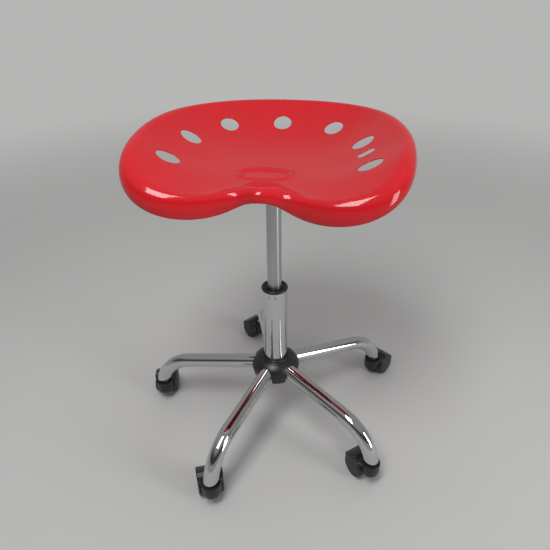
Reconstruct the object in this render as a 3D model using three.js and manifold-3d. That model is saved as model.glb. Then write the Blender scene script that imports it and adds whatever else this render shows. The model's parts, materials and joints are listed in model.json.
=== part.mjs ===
// Tractor seat stool: a moulded bucket seat on a gas lift, with a chromed five-leg base on twin-wheel casters.
// Millimetres, +Z up. The origin is at floor level, in the middle of the stool's extent, and the seat faces -Y.
import * as THREE from 'three';
import { mergeVertices } from 'three/addons/utils/BufferGeometryUtils.js';
import Module from 'manifold-3d';

const wasm = await Module();
wasm.setup();

const { sin, cos, tan, asin, atan2, PI, hypot } = Math;
const degrees = PI / 180;
const turn = 2 * PI;

// Clearances and cutting overrun
const seatGap = 0.3;
const runningGap = 0.3;
const overrun = 2;

// Faces per round shape
const fineSides = 30;
const plainSides = 20;
const smallSides = 14;
const tinySides = 8;
const hexSides = 6;
const cornerSteps = 3;

// Seat shell: distances are measured in plan from the middle of the pan, which stands off the lift's axis
const panHeight = 571;
const seatShiftX = -8.4;
const seatShiftY = -3.6;
const seatReach = 247;
const seatRise = 67;
const seatWall = 4;
const rimRoll = 26;
const rimWrap = 110 * degrees;
const bowlPower = 2.8;
const bowlPowerSwing = 0.7;
// Round half the rim, from the middle of the back to the middle of the front, in even steps of angle
const rimReachShares = [1.19, 1.23, 1.16, 1.045, 1.0, 1.0, 0.78, 0.455, 0.445];
const rimRiseShares = [0.92, 0.9, 0.96, 1.0, 0.91, 0.61, 0.12, 0.13, 0.21];
const rimRollShares = [0.54, 0.54, 0.54, 0.58, 0.65, 0.81, 1.0, 0.85, 0.58];
const seatSpokes = 48;
const bowlRingShares = [0.35, 0.6, 0.78, 0.9, 1];
const rollRings = 5;
// Holes through the bowl, by angle in degrees from the back and by distance from the middle
const holeLength = 40;
const holeWidth = 36;
const holeAngles = [0, 28, -28, 58, -58, 95, -95];
const holeDistanceShares = [0.895, 0.911, 0.911, 0.773, 0.773, 0.7, 0.7];
const holeSteps = 7;
// A slot through the bowl between the two rear holes of the right side
const slotAngle = 73.3;
const slotDistanceShare = 0.705;
const slotLength = 31;
const slotWidth = 13;
const slotCorner = 4.3;
// Raised oval ring in the middle of the pan
const ringLength = 108;
const ringWidth = 76;
const ringBand = 16;
const ringRise = 3;
// Bosses under the pan that the plate is bolted to
const bossSpacingX = 120;
const bossSpacingY = 120;
const bossRadius = 9;
const bossDrop = 7;

// Seat plate and its bolts
const plateLengthX = 150;
const plateLengthY = 144;
const plateThickness = 3;
const plateCorner = 14;
const plateFlange = 11;
const boltRadius = 3;
const boltThread = 10.5;
const boltHeadRadius = 5.5;
const boltHeadHeight = 4;
const boltFlangeRadius = 8;
const boltFlangeHeight = 1.2;

// Tray that holds the lift under the plate
const trayLength = 92;
const trayWidth = 82;
const trayWall = 2.5;
const trayDepth = 24.4;
const socketWall = 4.5;
const socketDrop = 8;
const socketRise = 5.5;
const liftTaper = 0.6;

// Release lever, its pin and its grip
const pivotOffset = 30;
const leverRadius = 4;
const leverTip = 8;
const leverReach = 196;
const paddleThickness = 4;
const paddleWidth = 14;
const eyeRadius = 6;
const eyeWidth = 10;
const pinRadius = 2.5;
const pinProud = 1.8;
const earThickness = 3;
const earLength = 13;
const gripLength = 44;
const gripSocket = 34;
const gripRadius = 7.5;
const gripNose = 5;
const buttonRadius = 3;
const buttonRise = 4.7;
const buttonDepth = 6;

// Gas lift
const cylinderRadius = 14;
const cylinderWall = 1.5;
const cylinderSunk = 16.4;
const cylinderBottom = 259;
const cylinderCap = 8;
const cylinderGland = 6;
const rodRadius = 5;
const pistonHeight = 12;
const pistonLift = 8;

// Outer column and what it holds
const columnRadius = 25;
const columnWall = 1.5;
const columnTop = 334;
const columnBottom = 103;
const columnFloor = 3;
const bushLength = 60;
const bushCapHeight = 6;
const bushCapTop = 18.5;
const bushShoulder = 24.6;
const bearingRadius = 17;
const bearingHeight = 5.7;
const collarRadius = 9;
const collarHeight = 3;
const bumperRadius = 15;
const bumperHeight = 11;
const clipRadius = 9;
const clipThickness = 1.5;
const clipMouth = 7;
const rodGroove = 3.6;
const rodTail = 4;

// Hub
const hubRadius = 30;
const hubBottom = 115;
const coverTop = 167;
const coverSkirt = 122;
const coverWall = 2.5;
const coverLipRadius = 29.5;
const coverLipDrop = 4;
const coverWaist = 47.5;
const coverRadius = 51;
const coverWidest = 140;
const coverDome = 30.5;
const coverSteps = 3;

// Legs
const legCount = 5;
const legPhase = 33.6 * degrees;
const legRadius = 15.2;
const legWall = 1.5;
const legStartHeight = 142;
const legFall = 7.4 * degrees;
const footRadius = 265;
const bendRadius = 78;
const legSides = 12;
const bendSteps = 6;
const toeHeight = 56;
const heelHeight = 65;

// Caster sockets and stems
const socketTubeRadius = 8;
const stemRadius = 5.5;
const stemRise = 24;
const stemJournal = 4;
const stemSunk = 14;
const stemFlange = 9;
const bossWall = 2.5;
const stemFlangeHeight = 1.6;

// Casters: twin wheels under a hood, trailing behind the stem
const wheelRadius = 24.5;
const wheelSides = 18;
const wheelInset = 0.8;
const casterWidth = 51;
const trail = 25.5;
const webThickness = 6.4;
const webDrop = 7.5;
const wheelGap = 0.8;
const hoodTop = 49.8;
const hoodCrown = 52.8;
const hoodTail = 44.5;
const hoodRear = 52.5;
const hoodShelf = 16.3;
const hoodFront = 12;
const hoodSkirt = 21;
const hoodRearSkirt = 34;
const hoodNose = 5;
const hoodSteps = 2;
const hoodFrontWidth = 38;
const axleRadius = 2.5;
const axleSunk = 12;
const wheelDish = 3;
const wheelRim = 4.5;
const wheelHubRadius = 7;
const casterHeadings = [52.5, 140, 98.5, 111, 128];

// Finishes
const finish = (color, roughness, metalness) => new THREE.MeshStandardMaterial({ color, roughness, metalness });
const redGloss = finish(0xc8141e, 0.12, 0);
const chrome = finish(0xd8dadc, 0.06, 1);
const satinSteel = finish(0xa8abad, 0.3, 1);
const blackSteel = finish(0x1c1c1e, 0.45, 0.6);
const zincSteel = finish(0xb0b0ac, 0.4, 1);
const blackPlastic = finish(0x1a1b1d, 0.5, 0);
const satinPlastic = finish(0x24262a, 0.35, 0);
const rubber = finish(0x151515, 0.85, 0);

// A closed geometry as a solid, with its faces turned outwards
const weldDistance = 1e-4;
function solid(geometry) {
  const bare = geometry.index ? geometry.toNonIndexed() : geometry.clone();
  bare.deleteAttribute('normal');
  bare.deleteAttribute('uv');
  const merged = mergeVertices(bare, weldDistance);
  const place = merged.attributes.position;
  const kept = [];
  let volume = 0;
  const [a, b, c] = [new THREE.Vector3(), new THREE.Vector3(), new THREE.Vector3()];
  for (let i = 0; i < merged.index.count; i += 3) {
    const corners = [0, 1, 2].map((k) => merged.index.getX(i + k));
    if (new Set(corners).size < 3) continue;
    kept.push(...corners);
    [a, b, c].forEach((point, k) => point.fromBufferAttribute(place, corners[k]));
    volume += a.dot(b.cross(c));
  }
  if (volume < 0) kept.reverse();
  return new wasm.Manifold(new wasm.Mesh({
    numProp: 3,
    vertProperties: new Float32Array(place.array),
    triVerts: new Uint32Array(kept),
  }));
}

function geometryOf(body) {
  const mesh = body.getMesh();
  const geometry = new THREE.BufferGeometry();
  geometry.setAttribute('position', new THREE.BufferAttribute(new Float32Array(mesh.vertProperties), 3));
  geometry.setIndex(new THREE.BufferAttribute(new Uint32Array(mesh.triVerts), 1));
  const flat = geometry.toNonIndexed();
  flat.computeVertexNormals();
  return flat;
}

const joined = (bodies) => bodies.reduce((sum, body) => sum.add(body));

// A solid of revolution about Z; the outline is a list of [radius, height] that closes on itself
function turned(outline, sides, phase = 0) {
  const points = outline.map(([radius, height]) => new THREE.Vector2(radius, height));
  points.push(points[0].clone());
  return solid(new THREE.LatheGeometry(points, sides, phase).rotateX(PI / 2));
}

// A round bar from one height to another, whose faces lie outside the true circle when it is a cutter
const bar = (radius, low, high, sides) => turned([[0, low], [radius, low], [radius, high], [0, high]], sides);
const bore = (radius, low, high, sides) => bar(radius / cos(PI / sides), low, high, sides);
const ring = (inner, outer, low, high, sides) =>
  turned([[inner, low], [outer, low], [outer, high], [inner, high]], sides);

// A block given by its two opposite corners
function block([x0, y0, z0], [x1, y1, z1]) {
  const geometry = new THREE.BoxGeometry(x1 - x0, y1 - y0, z1 - z0);
  return solid(geometry.translate((x0 + x1) / 2, (y0 + y1) / 2, (z0 + z1) / 2));
}

// A plan outline raised between two heights
function raised(shape, low, high, curveSegments = cornerSteps) {
  const geometry = new THREE.ExtrudeGeometry(shape, { depth: high - low, bevelEnabled: false, curveSegments });
  return solid(geometry.translate(0, 0, low));
}

// A profile drawn in X and Z, given a width across Y
function across(shape, width, curveSegments = cornerSteps) {
  const geometry = new THREE.ExtrudeGeometry(shape, { depth: width, bevelEnabled: false, curveSegments });
  return solid(geometry.rotateX(PI / 2).translate(0, width / 2, 0));
}

function shapeOf(points) {
  return new THREE.Shape(points.map(([x, y]) => new THREE.Vector2(x, y)));
}

function roundedRectangle(lengthX, lengthY, corner) {
  const [x, y] = [lengthX / 2, lengthY / 2];
  const shape = new THREE.Shape();
  shape.moveTo(corner - x, -y);
  shape.absarc(x - corner, corner - y, corner, -PI / 2, 0);
  shape.absarc(x - corner, y - corner, corner, 0, PI / 2);
  shape.absarc(corner - x, y - corner, corner, PI / 2, PI);
  shape.absarc(corner - x, corner - y, corner, PI, PI + PI / 2);
  return shape;
}

const transformed = (body, matrix) => body.transform(matrix.elements);
const moved = (body, x, y, z) => body.translate([x, y, z]);
// The radius of a hole's corners whose flats clear a round piece
const roomFor = (radius, sides) => (radius + seatGap) / cos(PI / sides);
const alongX = new THREE.Matrix4().makeRotationY(PI / 2);
const alongY = new THREE.Matrix4().makeRotationX(-PI / 2);

// A skin through rings of equally many points, closed by a fan at each end
function lofted(rings, firstPole, lastPole) {
  const count = rings[0].length;
  const points = [firstPole, ...rings.flat(), lastPole];
  const faces = [];
  const at = (r, k) => 1 + r * count + (k % count);
  for (let k = 0; k < count; k++) {
    faces.push(0, at(0, k + 1), at(0, k));
    for (let r = 0; r + 1 < rings.length; r++) {
      faces.push(at(r, k), at(r, k + 1), at(r + 1, k + 1), at(r, k), at(r + 1, k + 1), at(r + 1, k));
    }
    faces.push(at(rings.length - 1, k), at(rings.length - 1, k + 1), points.length - 1);
  }
  const geometry = new THREE.BufferGeometry();
  geometry.setAttribute('position', new THREE.Float32BufferAttribute(points.flat(), 3));
  geometry.setIndex(faces);
  return solid(geometry);
}

// The seat
// Each value round the rim is a cosine series through its stations, even about the seat's middle line
function rimSeries(shares) {
  const last = shares.length - 1;
  const weight = (j) => (j === 0 || j === last ? 1 / 2 : 1);
  const terms = shares.map((_, k) => {
    const sum = shares.reduce((total, share, j) => total + weight(j) * share * cos((PI * k * j) / last), 0);
    return (2 / last) * weight(k) * sum;
  });
  return (angle) => terms.reduce((total, term, k) => total + term * cos(k * angle), 0);
}

const reachSeries = rimSeries(rimReachShares);
const riseSeries = rimSeries(rimRiseShares);
const rollSeries = rimSeries(rimRollShares);

// The bowl rises as a power of the distance and meets the rim's roll where both have the same slope
const solverRounds = 16;
function rimSection(angle) {
  const roll = rimRoll * rollSeries(angle);
  const rollCentre = seatReach * reachSeries(angle) - roll;
  const rollHeight = seatRise * riseSeries(angle) - roll;
  const power = bowlPower + bowlPowerSwing * cos(angle);
  let lean = 0;
  for (let i = 0; i < solverRounds; i++) {
    lean = atan2(power * (rollHeight + roll * cos(lean)), rollCentre - roll * sin(lean));
  }
  const edge = rollCentre - roll * sin(lean);
  const edgeHeight = rollHeight + roll * cos(lean);
  return { roll, rollCentre, rollHeight, power, lean, edge, edgeHeight };
}

const bowlAt = (section, distance) => section.edgeHeight * (distance / section.edge) ** section.power;

// A point of the skin at a depth below the upper face, on the bowl or on the roll
function bowlPoint(section, share, depth) {
  const distance = section.edge * share;
  const slope = (section.power * bowlAt(section, distance)) / distance;
  const length = hypot(1, slope);
  return [distance + (depth * slope) / length, bowlAt(section, distance) - depth / length];
}

function rollPoint(section, share, depth) {
  const angle = section.lean - (rimWrap + section.lean) * share;
  const radius = section.roll - depth;
  return [section.rollCentre - radius * sin(angle), section.rollHeight + radius * cos(angle)];
}

function seatRing(pointOf) {
  return Array.from({ length: seatSpokes }, (_, k) => {
    const angle = (turn * k) / seatSpokes;
    const [distance, height] = pointOf(rimSection(angle));
    return [distance * sin(angle), distance * cos(angle), panHeight + height];
  });
}

function seatSkin() {
  const rollShares = Array.from({ length: rollRings }, (_, i) => (i + 1) / rollRings);
  const upper = [
    ...bowlRingShares.map((share) => seatRing((section) => bowlPoint(section, share, 0))),
    ...rollShares.map((share) => seatRing((section) => rollPoint(section, share, 0))),
  ];
  const lower = [
    ...bowlRingShares.map((share) => seatRing((section) => bowlPoint(section, share, seatWall))),
    ...rollShares.map((share) => seatRing((section) => rollPoint(section, share, seatWall))),
  ];
  return lofted([...upper, ...lower.reverse()], [0, 0, panHeight], [0, 0, panHeight - seatWall]);
}

// A cutter square to the bowl at a place given from the back; its length runs outwards
function bowlCutter(shape, angle, distanceShare, steps) {
  const section = rimSection(angle);
  const distance = seatReach * distanceShare;
  const slope = (section.power * bowlAt(section, distance)) / distance;
  const depth = seatWall + overrun;
  const frame = new THREE.Matrix4()
    .makeTranslation(distance * sin(angle), distance * cos(angle), panHeight + bowlAt(section, distance))
    .multiply(new THREE.Matrix4().makeRotationZ(PI / 2 - angle))
    .multiply(new THREE.Matrix4().makeRotationY(-atan2(slope, 1)));
  return transformed(raised(shape, -depth, depth, steps), frame);
}

const bossPlaces = [-1, 1].flatMap((sideX) => [-1, 1].map((sideY) =>
  [(sideX * bossSpacingX) / 2, (sideY * bossSpacingY) / 2]));
// The same body at each of the four bosses
const atBosses = (body) => joined(bossPlaces.map(([x, y]) => moved(body, x, y, 0)));
const offAxis = (body) => moved(body, seatShiftX, seatShiftY, 0);
const bossBottom = panHeight - seatWall - bossDrop;
const plateTop = bossBottom - seatGap;
const plateBottom = plateTop - plateThickness;
const boltSeat = plateBottom - seatGap;
const boltTip = boltSeat + boltThread;

// The raised oval ring, drawn round and then narrowed
function panRing() {
  const [inner, outer, low] = [ringLength / 2 - ringBand, ringLength / 2, panHeight - seatWall / 2];
  const round = turned([
    [inner, low], [outer, low], [outer, panHeight],
    [(inner + outer) / 2, panHeight + ringRise], [inner, panHeight],
  ], plainSides);
  return transformed(round, new THREE.Matrix4().makeScale(1, ringWidth / ringLength, 1));
}

// Each boss runs up into the middle of the bowl's wall
const seatBosses = () => joined(bossPlaces.map(([x, y]) => {
  const rise = bowlAt(rimSection(atan2(x, y)), hypot(x, y));
  return moved(bar(bossRadius, bossBottom, panHeight + rise - seatWall / 2, smallSides), x, y, 0);
}));

function seatShell() {
  const hole = new THREE.Shape().absellipse(0, 0, holeLength / 2, holeWidth / 2, 0, turn);
  const holes = holeAngles.map((angle, i) =>
    bowlCutter(hole, angle * degrees, holeDistanceShares[i], holeSteps));
  const slot = roundedRectangle(slotLength, slotWidth, slotCorner);
  const slotCutter = bowlCutter(slot, slotAngle * degrees, slotDistanceShare, cornerSteps);
  const thread = bore(boltRadius + seatGap, bossBottom - overrun, boltTip + seatGap, tinySides);
  return joined([seatSkin(), panRing(), seatBosses()])
    .subtract(joined([...holes, slotCutter]))
    .subtract(atBosses(thread));
}

// The seat plate, the tray that grips the lift, and the lever
function seatPlate() {
  const flangeAt = plateLengthY / 2;
  const flangeHalf = plateLengthX / 2 - plateCorner;
  const rearFlange = block(
    [-flangeHalf, flangeAt - plateThickness, plateTop - plateFlange],
    [flangeHalf, flangeAt, plateTop - plateThickness / 2],
  );
  const sheet = raised(roundedRectangle(plateLengthX, plateLengthY, plateCorner), plateBottom, plateTop);
  const hole = bore(boltRadius + seatGap, plateBottom - overrun, plateTop + overrun, tinySides);
  return joined([sheet, rearFlange, rearFlange.mirror([0, 1, 0])]).subtract(atBosses(hole));
}

const seatBolt = () => joined([
  bar(boltHeadRadius, boltSeat - boltHeadHeight, boltSeat - boltFlangeHeight / 2, hexSides),
  bar(boltFlangeRadius, boltSeat - boltFlangeHeight, boltSeat, smallSides),
  bar(boltRadius, boltSeat - boltFlangeHeight / 2, boltTip, tinySides),
]);

const trayTop = plateBottom - seatGap;
const trayBottom = trayTop - trayDepth;
const cylinderTop = trayTop - cylinderSunk;
const socketBottom = trayBottom - socketDrop;
const socketTop = trayBottom + trayWall + socketRise;
const leverHeight = cylinderTop + buttonRise + seatGap + paddleThickness / 2;
const earTop = leverHeight + eyeRadius - seatGap;
const earInner = eyeWidth / 2 + runningGap;
const earOuter = earInner + earThickness;

// The lift's top end narrows evenly over the length that its socket grips
function taperedEnd(radius, low, high) {
  const taper = (liftTaper * (high - socketBottom)) / (cylinderTop - socketBottom);
  return turned([
    [0, low], [radius, low], [radius, socketBottom], [radius - taper, high], [0, high],
  ], fineSides);
}

function liftTray() {
  const [x, y] = [trayLength / 2, trayWidth / 2];
  const outside = block([-x, -y, trayBottom], [x, y, trayTop]);
  const inside = block([-x - overrun, trayWall - y, trayBottom + trayWall],
    [x + overrun, y - trayWall, trayTop + overrun]);
  const socket = bar(cylinderRadius + socketWall, socketBottom, socketTop, plainSides);
  const ear = block(
    [pivotOffset - earLength / 2, earInner, trayBottom + trayWall / 2],
    [pivotOffset + earLength / 2, earOuter, earTop],
  );
  const mouth = taperedEnd(roomFor(cylinderRadius, fineSides), socketBottom - overrun, socketTop + overrun);
  return joined([outside.subtract(inside), socket, ear, ear.mirror([0, 1, 0])])
    .subtract(mouth).subtract(pinHole(earOuter + overrun));
}

const leverAxis = (body) => moved(transformed(body, alongX), 0, 0, leverHeight);
const pinAxis = (body) => moved(transformed(body, alongY), pivotOffset, 0, leverHeight);
const pinHole = (half) => pinAxis(bore(pinRadius + seatGap, -half, half, tinySides));
const pinHalf = earOuter + pinProud;
const leverPin = () => pinAxis(bar(pinRadius, -pinHalf, pinHalf, tinySides));

function releaseLever() {
  const paddle = block(
    [-leverTip, -paddleWidth / 2, leverHeight - paddleThickness / 2],
    [cylinderRadius, paddleWidth / 2, leverHeight + paddleThickness / 2],
  );
  const arm = leverAxis(bar(leverRadius, cylinderRadius - leverRadius, leverReach, tinySides));
  const eye = pinAxis(bar(eyeRadius, -eyeWidth / 2, eyeWidth / 2, smallSides));
  return joined([paddle, arm, eye]).subtract(pinHole(eyeWidth));
}

function leverGrip() {
  const start = leverReach - gripSocket;
  const end = start + gripLength;
  const noseRadius = gripRadius - gripNose / 2;
  const body = turned([
    [0, start], [noseRadius, start], [gripRadius, start + gripNose], [gripRadius, end - gripNose],
    [noseRadius, end], [0, end],
  ], smallSides);
  const socket = bore(leverRadius + seatGap, start - overrun, leverReach + seatGap, tinySides);
  return leverAxis(body.subtract(socket));
}

// The gas lift
const boreRadius = cylinderRadius - cylinderWall;
const boreTop = cylinderTop - cylinderCap - buttonDepth;
const pistonBottom = cylinderBottom + cylinderGland + pistonLift;

function gasCylinder() {
  const body = taperedEnd(cylinderRadius, cylinderBottom, cylinderTop);
  const chamberBottom = cylinderBottom + cylinderGland;
  const chamber = bar(boreRadius, chamberBottom, boreTop, plainSides);
  const gland = bore(rodRadius + runningGap, cylinderBottom - overrun, chamberBottom + overrun, smallSides);
  const well = bore(buttonRadius + runningGap, cylinderTop - buttonDepth, cylinderTop + overrun, tinySides);
  return body.subtract(joined([chamber, gland])).subtract(well);
}

const buttonBottom = cylinderTop - buttonDepth + buttonRise;
const releaseButton = () => bar(buttonRadius, buttonBottom, cylinderTop + buttonRise, tinySides);

const pistonTop = pistonBottom + pistonHeight;
const pistonRadius = (boreRadius - runningGap) * cos(PI / plainSides);
const piston = () => rodRing(pistonRadius, pistonBottom, pistonTop, smallSides);

const floorTop = columnBottom + columnFloor;
const bearingTop = floorTop + seatGap + bearingHeight;
const collarTop = bearingTop + seatGap + collarHeight;
const bumperTop = collarTop + seatGap + bumperHeight;
const clipTop = columnBottom - seatGap;
const clipBottom = clipTop - clipThickness;
const rodBottom = clipBottom - rodTail;

function pistonRod() {
  const head = pistonTop + seatGap + collarHeight;
  return turned([
    [0, rodBottom], [rodRadius, rodBottom], [rodRadius, clipBottom - seatGap],
    [rodGroove, clipBottom - seatGap], [rodGroove, clipTop + seatGap / 2],
    [rodRadius, clipTop + seatGap / 2], [rodRadius, bearingTop + seatGap],
    [collarRadius, bearingTop + seatGap], [collarRadius, collarTop], [rodRadius, collarTop],
    [rodRadius, pistonTop + seatGap], [collarRadius, pistonTop + seatGap], [collarRadius, head], [0, head],
  ], smallSides);
}

const rodRing = (outer, low, high, sides) => ring(roomFor(rodRadius, sides), outer, low, high, sides);
const thrustBearing = () => rodRing(bearingRadius, floorTop + seatGap, bearingTop, smallSides);
const rubberBumper = () => rodRing(bumperRadius, collarTop + seatGap, bumperTop, smallSides);

// A spring clip: a ring with a mouth, in the rod's groove under the column
function retainingClip() {
  const body = rodRing(clipRadius, clipBottom, clipTop, tinySides);
  const middle = (rodRadius + clipRadius) / 2;
  const inner = ring(roomFor(rodGroove, tinySides), middle, clipBottom, clipTop, tinySides);
  const mouth = block([0, -clipMouth / 2, clipBottom - overrun],
    [clipRadius + overrun, clipMouth / 2, clipTop + overrun]);
  return joined([body, inner]).subtract(mouth);
}

// The outer column and the hub
function outerColumn() {
  const inner = columnRadius - columnWall;
  const tube = bar(columnRadius, columnBottom, columnTop, fineSides);
  const hollow = bar(inner, floorTop, columnTop + overrun, fineSides);
  const rodHole = bore(rodRadius + runningGap, columnBottom - overrun, floorTop + overrun, smallSides);
  return tube.subtract(hollow).subtract(rodHole);
}

function columnBush() {
  const inner = roomFor(cylinderRadius, fineSides);
  const outer = (columnRadius - columnWall) * cos(PI / fineSides) - seatGap;
  const low = columnTop - bushLength;
  const shoulder = columnTop + seatGap;
  const top = shoulder + bushCapHeight;
  return turned([
    [inner, low], [outer, low], [outer, shoulder], [bushShoulder, shoulder],
    [bushShoulder, shoulder + bushCapHeight / 3], [bushCapTop, top], [inner, top],
  ], fineSides);
}

// Half the cover's outline: a straight skirt up to the widest height, then an arc to the shoulder
function coverArc(wall) {
  const shoulderTurn = asin((coverTop - coverLipDrop - coverWidest) / coverDome);
  const points = [[coverWaist - wall, coverSkirt]];
  for (let i = 0; i <= coverSteps; i++) {
    const angle = (shoulderTurn * i) / coverSteps;
    points.push([(coverRadius - wall) * cos(angle), coverWidest + (coverDome - wall) * sin(angle)]);
  }
  return points;
}

const coverInside = coverArc(coverWall).reverse();
const coverCeiling = coverInside[0][1];
const hubTop = coverCeiling - seatGap;
const aroundColumn = roomFor(columnRadius, fineSides);
const hubSleeve = () => ring(aroundColumn, hubRadius, hubBottom, hubTop, fineSides);

// A dome with a raised lip round the column, open to the legs through arched slots
function hubCover() {
  const shoulder = coverTop - coverLipDrop;
  const dome = turned([
    ...coverArc(0), [coverLipRadius, shoulder], [coverLipRadius, coverTop], [aroundColumn, coverTop],
    [aroundColumn, coverCeiling], ...coverInside,
  ], fineSides);
  const arch = tubeAlong(legStations(legInnerEnd).slice(0, 2), legRadius + seatGap);
  const open = block([0, -legRadius - seatGap, coverSkirt - overrun],
    [coverRadius + overrun, legRadius + seatGap, legLineHeight(coverRadius)]);
  const slot = arch.add(open);
  const slots = Array.from({ length: legCount }, (_, i) => slot.rotate([0, 0, legAzimuth(i) / degrees]));
  return dome.subtract(joined(slots));
}

// The legs
const legAzimuth = (i) => legPhase + (turn * i) / legCount;
const legInnerEnd = hubRadius / 2;
const legLineHeight = (distance) => legStartHeight - (distance - hubRadius) * tan(legFall);

// Stations along a leg's middle line, in its own upright plane: a straight fall, then a bend to plumb
function legStations(start) {
  const bendTurn = PI / 2 - legFall;
  const setBack = bendRadius * tan(bendTurn / 2);
  const centreX = footRadius - bendRadius;
  const centreZ = legLineHeight(footRadius) - setBack;
  const stations = [{ x: start, z: legLineHeight(start), lean: -legFall }];
  for (let i = 0; i <= bendSteps; i++) {
    const lean = -legFall - (bendTurn * i) / bendSteps;
    stations.push({ x: centreX - bendRadius * sin(lean), z: centreZ + bendRadius * cos(lean), lean });
  }
  return stations;
}

// A round bar carried along stations, each with a ring square to its lean
function tubeAlong(stations, radius) {
  const rings = stations.map(({ x, z, lean }) => Array.from({ length: legSides }, (_, k) => {
    const angle = (turn * (k + 1 / 2)) / legSides;
    const [side, lift] = [radius * cos(angle), radius * sin(angle)];
    return [x - lift * sin(lean), side, z + lift * cos(lean)];
  }));
  const middle = ({ x, z }) => [x, 0, z];
  return lofted(rings, middle(stations[0]), middle(stations[stations.length - 1]));
}

// Everything below the slanting cut across the tube's end
function toeCutter() {
  const slope = (heelHeight - toeHeight) / (2 * legRadius);
  const cutAt = (x) => toeHeight + (footRadius + legRadius - x) * slope;
  const [x0, x1] = [footRadius - 2 * legRadius, footRadius + 2 * legRadius];
  return across(shapeOf([[x0, 0], [x1, 0], [x1, cutAt(x1)], [x0, cutAt(x0)]]), 4 * legRadius);
}

function legTube() {
  const outside = tubeAlong(legStations(legInnerEnd), legRadius);
  const inside = tubeAlong(legStations(legInnerEnd - overrun), legRadius - legWall);
  const cope = bore(hubRadius + seatGap, hubBottom - hubRadius, hubTop + hubRadius, fineSides);
  return outside.subtract(inside).subtract(cope).subtract(toeCutter());
}

// Caster sockets and stems
const flangeBottom = hoodTop + seatGap;
const socketTubeBottom = flangeBottom + stemFlangeHeight + seatGap;

// The socket tube runs up until it meets the inside of the bend
function casterSocket() {
  const room = tubeAlong(legStations(legInnerEnd), legRadius - legWall - seatGap);
  const tube = bar(socketTubeRadius, socketTubeBottom, legStartHeight, smallSides)
    .subtract(bore(stemRadius + seatGap, socketTubeBottom - overrun, legStartHeight + overrun, tinySides));
  return moved(tube, footRadius, 0, 0).intersect(room);
}

function casterStem() {
  const [journalBottom, flangeTop] = [hoodTop - stemSunk, flangeBottom + stemFlangeHeight];
  const stemTop = socketTubeBottom + stemRise;
  return moved(turned([
    [0, journalBottom], [stemJournal, journalBottom], [stemJournal, flangeBottom], [stemFlange, flangeBottom],
    [stemFlange, flangeTop], [stemRadius, flangeTop], [stemRadius, stemTop], [0, stemTop],
  ], tinySides), footRadius, 0, 0);
}

// The casters, each drawn with its stem on the Z axis and trailing along +X
const axleHeight = wheelRadius * cos(PI / wheelSides);
const wheelInner = webThickness / 2 + runningGap;
const wheelOuter = casterWidth / 2 - wheelInset;

// A body drawn along Z, laid on the axle's line
const onAxle = (body) => moved(transformed(body, alongY), trail, 0, axleHeight);

// The hood seen from the side: a blunt nose, a shelf under the stem, a crown over the axle and a falling rear
function hoodProfile() {
  const profile = new THREE.Shape();
  profile.moveTo(-hoodFront, hoodSkirt);
  profile.lineTo(-hoodFront, hoodTop - hoodNose);
  profile.quadraticCurveTo(-hoodFront, hoodTop, hoodNose - hoodFront, hoodTop);
  profile.lineTo(hoodShelf, hoodTop);
  profile.lineTo(trail, hoodCrown);
  profile.lineTo(hoodRear - hoodNose / 2, hoodTail);
  profile.quadraticCurveTo(hoodRear, hoodTail - hoodNose / 4, hoodRear, hoodTail - hoodNose);
  profile.lineTo(hoodRear, hoodRearSkirt);
  profile.lineTo(trail + wheelRadius / 2, hoodRearSkirt);
  profile.lineTo(trail, axleHeight - webDrop);
  return profile;
}

// The hood seen from above: full width behind the stem, drawn in to a bowed front
function hoodPlan() {
  const [front, rear] = [hoodFrontWidth / 2, casterWidth / 2];
  const plan = new THREE.Shape();
  plan.moveTo(hoodRear + overrun, -rear);
  plan.lineTo(hoodRear + overrun, rear);
  plan.lineTo(trail / 2, rear);
  plan.quadraticCurveTo(-hoodFront / 2, rear, -hoodFront, front / 2);
  plan.lineTo(-hoodFront, -front / 2);
  plan.quadraticCurveTo(-hoodFront / 2, -rear, trail / 2, -rear);
  return plan;
}

function casterHood() {
  const plan = raised(hoodPlan(), 0, hoodTop + overrun, hoodSteps);
  const shell = across(hoodProfile(), casterWidth + overrun, hoodSteps).intersect(plan);
  const wheelWell = onAxle(bore(wheelRadius + wheelGap, webThickness / 2, casterWidth, plainSides));
  const wells = wheelWell.add(wheelWell.mirror([0, 1, 0]));
  const journalBottom = hoodTop - stemSunk;
  const boss = bar(stemJournal + bossWall, journalBottom - bossWall, hoodTop - bossWall, tinySides)
    .subtract(wells);
  const stemHole = bore(stemJournal + runningGap, journalBottom - seatGap, hoodTop + overrun, tinySides);
  const axleHole = onAxle(bore(axleRadius + seatGap, -webThickness, webThickness, tinySides));
  return shell.subtract(wells).add(boss).subtract(stemHole).subtract(axleHole);
}

const casterAxle = () => onAxle(bar(axleRadius, -wheelInner - axleSunk, wheelInner + axleSunk, tinySides));

// A wheel with a dished outer face and a blind bore; one flat of its tread lies on the floor
function casterWheel() {
  const crown = wheelOuter - wheelRim;
  const body = turned([
    [0, wheelInner], [wheelRadius, wheelInner], [wheelRadius, crown], [wheelRadius - wheelRim, wheelOuter],
    [wheelHubRadius, wheelOuter - wheelDish], [0, wheelOuter - wheelDish],
  ], wheelSides, PI / wheelSides);
  return onAxle(body.subtract(bore(axleRadius + runningGap, 0, wheelInner + axleSunk + seatGap, tinySides)));
}

// The assembly, drawn round the lift's axis
const stool = new THREE.Group();

function addTo(group, name, body, material) {
  const mesh = new THREE.Mesh(geometryOf(body), material);
  mesh.name = name;
  group.add(mesh);
}

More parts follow.
